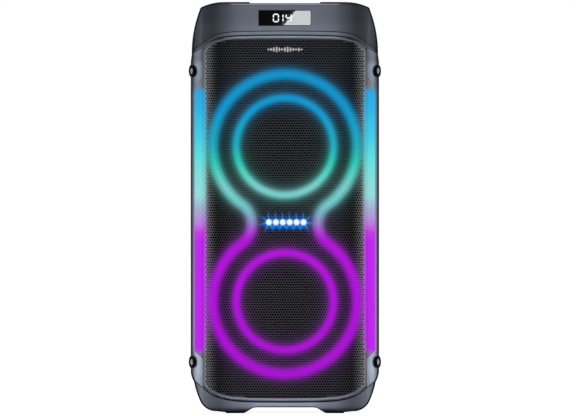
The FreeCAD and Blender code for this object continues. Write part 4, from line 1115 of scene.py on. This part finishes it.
def build_stage():
    """Pale flat floor that runs out of sight on every side."""
    reach = 60.0
    mesh = bpy.data.meshes.new("floor")
    mesh.from_pydata([(-reach, -reach, 0), (reach, -reach, 0), (reach, reach, 0),
                      (-reach, reach, 0)], [], [(0, 1, 2, 3)])
    floor = bpy.data.objects.new("floor", mesh)
    bpy.context.collection.objects.link(floor)
    material, tree, shader = new_surface("pale_floor")
    seen = add(tree, "ShaderNodeLightPath").outputs["Is Camera Ray"]
    feed(tree, shader, {
        "Base Color": mix_colours(tree, noise(tree, 3.0), (0.78,) * 3, (0.82,) * 3),
        "Roughness": 0.9, "Specular IOR Level": 0.0, "Emission Color": (1.0, 1.0, 1.0),
        "Emission Strength": calculate(tree, "MULTIPLY", seen, 0.93),
    })
    mesh.materials.append(material)


def card(name, place, aim, wide, tall, power, colour=(1, 1, 1), roll=0.0):
    """Soft area light that faces a point."""
    data = bpy.data.lights.new(name, "AREA")
    data.shape = "RECTANGLE"
    data.size, data.size_y = wide, tall
    data.energy = power
    data.color = colour
    lamp = bpy.data.objects.new(name, data)
    direction = Vector(aim) - Vector(place)
    turn = direction.to_track_quat("-Z", "Y").to_matrix().to_4x4()
    lamp.matrix_world = Matrix.Translation(place) @ turn @ Matrix.Rotation(roll, 4, "Z")
    bpy.context.collection.objects.link(lamp)
    return lamp


# Brightness of the room around the speaker, by degrees away from straight ahead.
ROOM = [(0, .80), (8, .78), (16, .46), (32, .22), (42, .075), (56, .08), (66, .12), (76, .6),
        (82, 1.15), (104, 1.2), (114, .8), (124, .25), (134, .10), (152, .12), (166, .28),
        (180, .36)]


def build_room():
    """Soft room: white to the camera, and bright and dark panels to everything else."""
    world = bpy.data.worlds.new("soft_room")
    bpy.context.scene.world = world
    world.use_nodes = True
    tree = world.node_tree
    split = add(tree, "ShaderNodeSeparateXYZ")
    feed(tree, split, {0: add(tree, "ShaderNodeTexCoord").outputs["Generated"]})
    across = calculate(tree, "ABSOLUTE", split.outputs["X"])
    ahead = calculate(tree, "MULTIPLY", split.outputs["Y"], -1.0)
    turn = calculate(tree, "DIVIDE", calculate(tree, "ARCTAN2", across, ahead), math.pi)
    panels = blend_along(tree, turn, [(degrees / 180, (level,) * 3) for degrees, level in ROOM])
    height = step_between(tree, split.outputs["Z"], 0.10, 0.70)
    level = calculate(tree, "MULTIPLY", panels, spread(tree, height, 1.0, 0.20))
    seen = add(tree, "ShaderNodeMix", data_type="FLOAT")
    path = add(tree, "ShaderNodeLightPath").outputs["Is Camera Ray"]
    feed(tree, seen, {"Factor": path, 2: level, 3: 1.04})
    feed(tree, tree.nodes["Background"], {"Strength": seen.outputs[0], "Color": (0.97, 0.98, 1.0)})


def build_lights():
    """Large soft box above, and the slanted highlight on the display window."""
    build_room()
    card("top_box", (0, -0.6, 3.0), (0, 0, 0.4), 2.4, 2.0, 22)
    glare = card("window_glare", (0.0475, FACE - 2.0, 0.6535), (0.0475, FACE, 0.6535), 0.099,
                 0.2145, 17.5, (0.94, 0.97, 1.0), math.radians(-38.7))
    edge = card("window_glare_edge", (0.0100, FACE - 1.99, 0.6837), (0.0100, FACE, 0.6837), 0.0014,
                0.2145, 0.20, (1.0, 1.0, 1.0), math.radians(-38.7))
    receivers = bpy.data.collections.new("glare_receivers")
    receivers.objects.link(NODES["display_window"])
    for lamp in (glare, edge):
        lamp.light_linking.receiver_collection = receivers
        lamp.visible_camera = False
    build_rear_fill()


def build_rear_fill():
    """Soft lights behind the speaker that show the form of its black sides, top and back."""
    black_parts = bpy.data.collections.new("rear_fill_receivers")
    for name in ("cabinet_shell", "cabinet_back", "control_panel", "volume_dial", "rear_panel",
                 "rear_handle", "bass_port_tubes", "heat_sink", "rear_sockets", "power_entry",
                 "microphone_dial", "guitar_dial", "panel_screws", "rubber_feet"):
        black_parts.objects.link(NODES[name])
    for name in ("pairing", "bass", "power", "light", "play"):
        black_parts.objects.link(NODES[name + "_button"])
    for side in (-1, 1):
        lamp = card(f"rear_fill_{'left' if side < 0 else 'right'}", (side * 1.2, 3.2, 2.4),
                    (0, 0.1, 0.35), 1.8, 1.8, 120)
        lamp.light_linking.receiver_collection = black_parts
        lamp.visible_camera = False


def build_camera():
    """Long lens straight in front, at the height of the speaker's middle."""
    data = bpy.data.cameras.new("camera")
    camera = bpy.data.objects.new("camera", data)
    distance = 20.0
    data.sensor_width = 36.0
    data.lens = 36.0 * distance / 0.9504
    camera.location = (0.00515, FACE - distance, 0.3394)
    camera.rotation_euler = (math.radians(90), 0, 0)
    bpy.context.collection.objects.link(camera)
    bpy.context.scene.camera = camera


dress_cad()
build_front()
build_digits()
build_marks()
build_stage()
build_lights()
build_camera()
bpy.context.scene.view_settings.view_transform = "Standard"
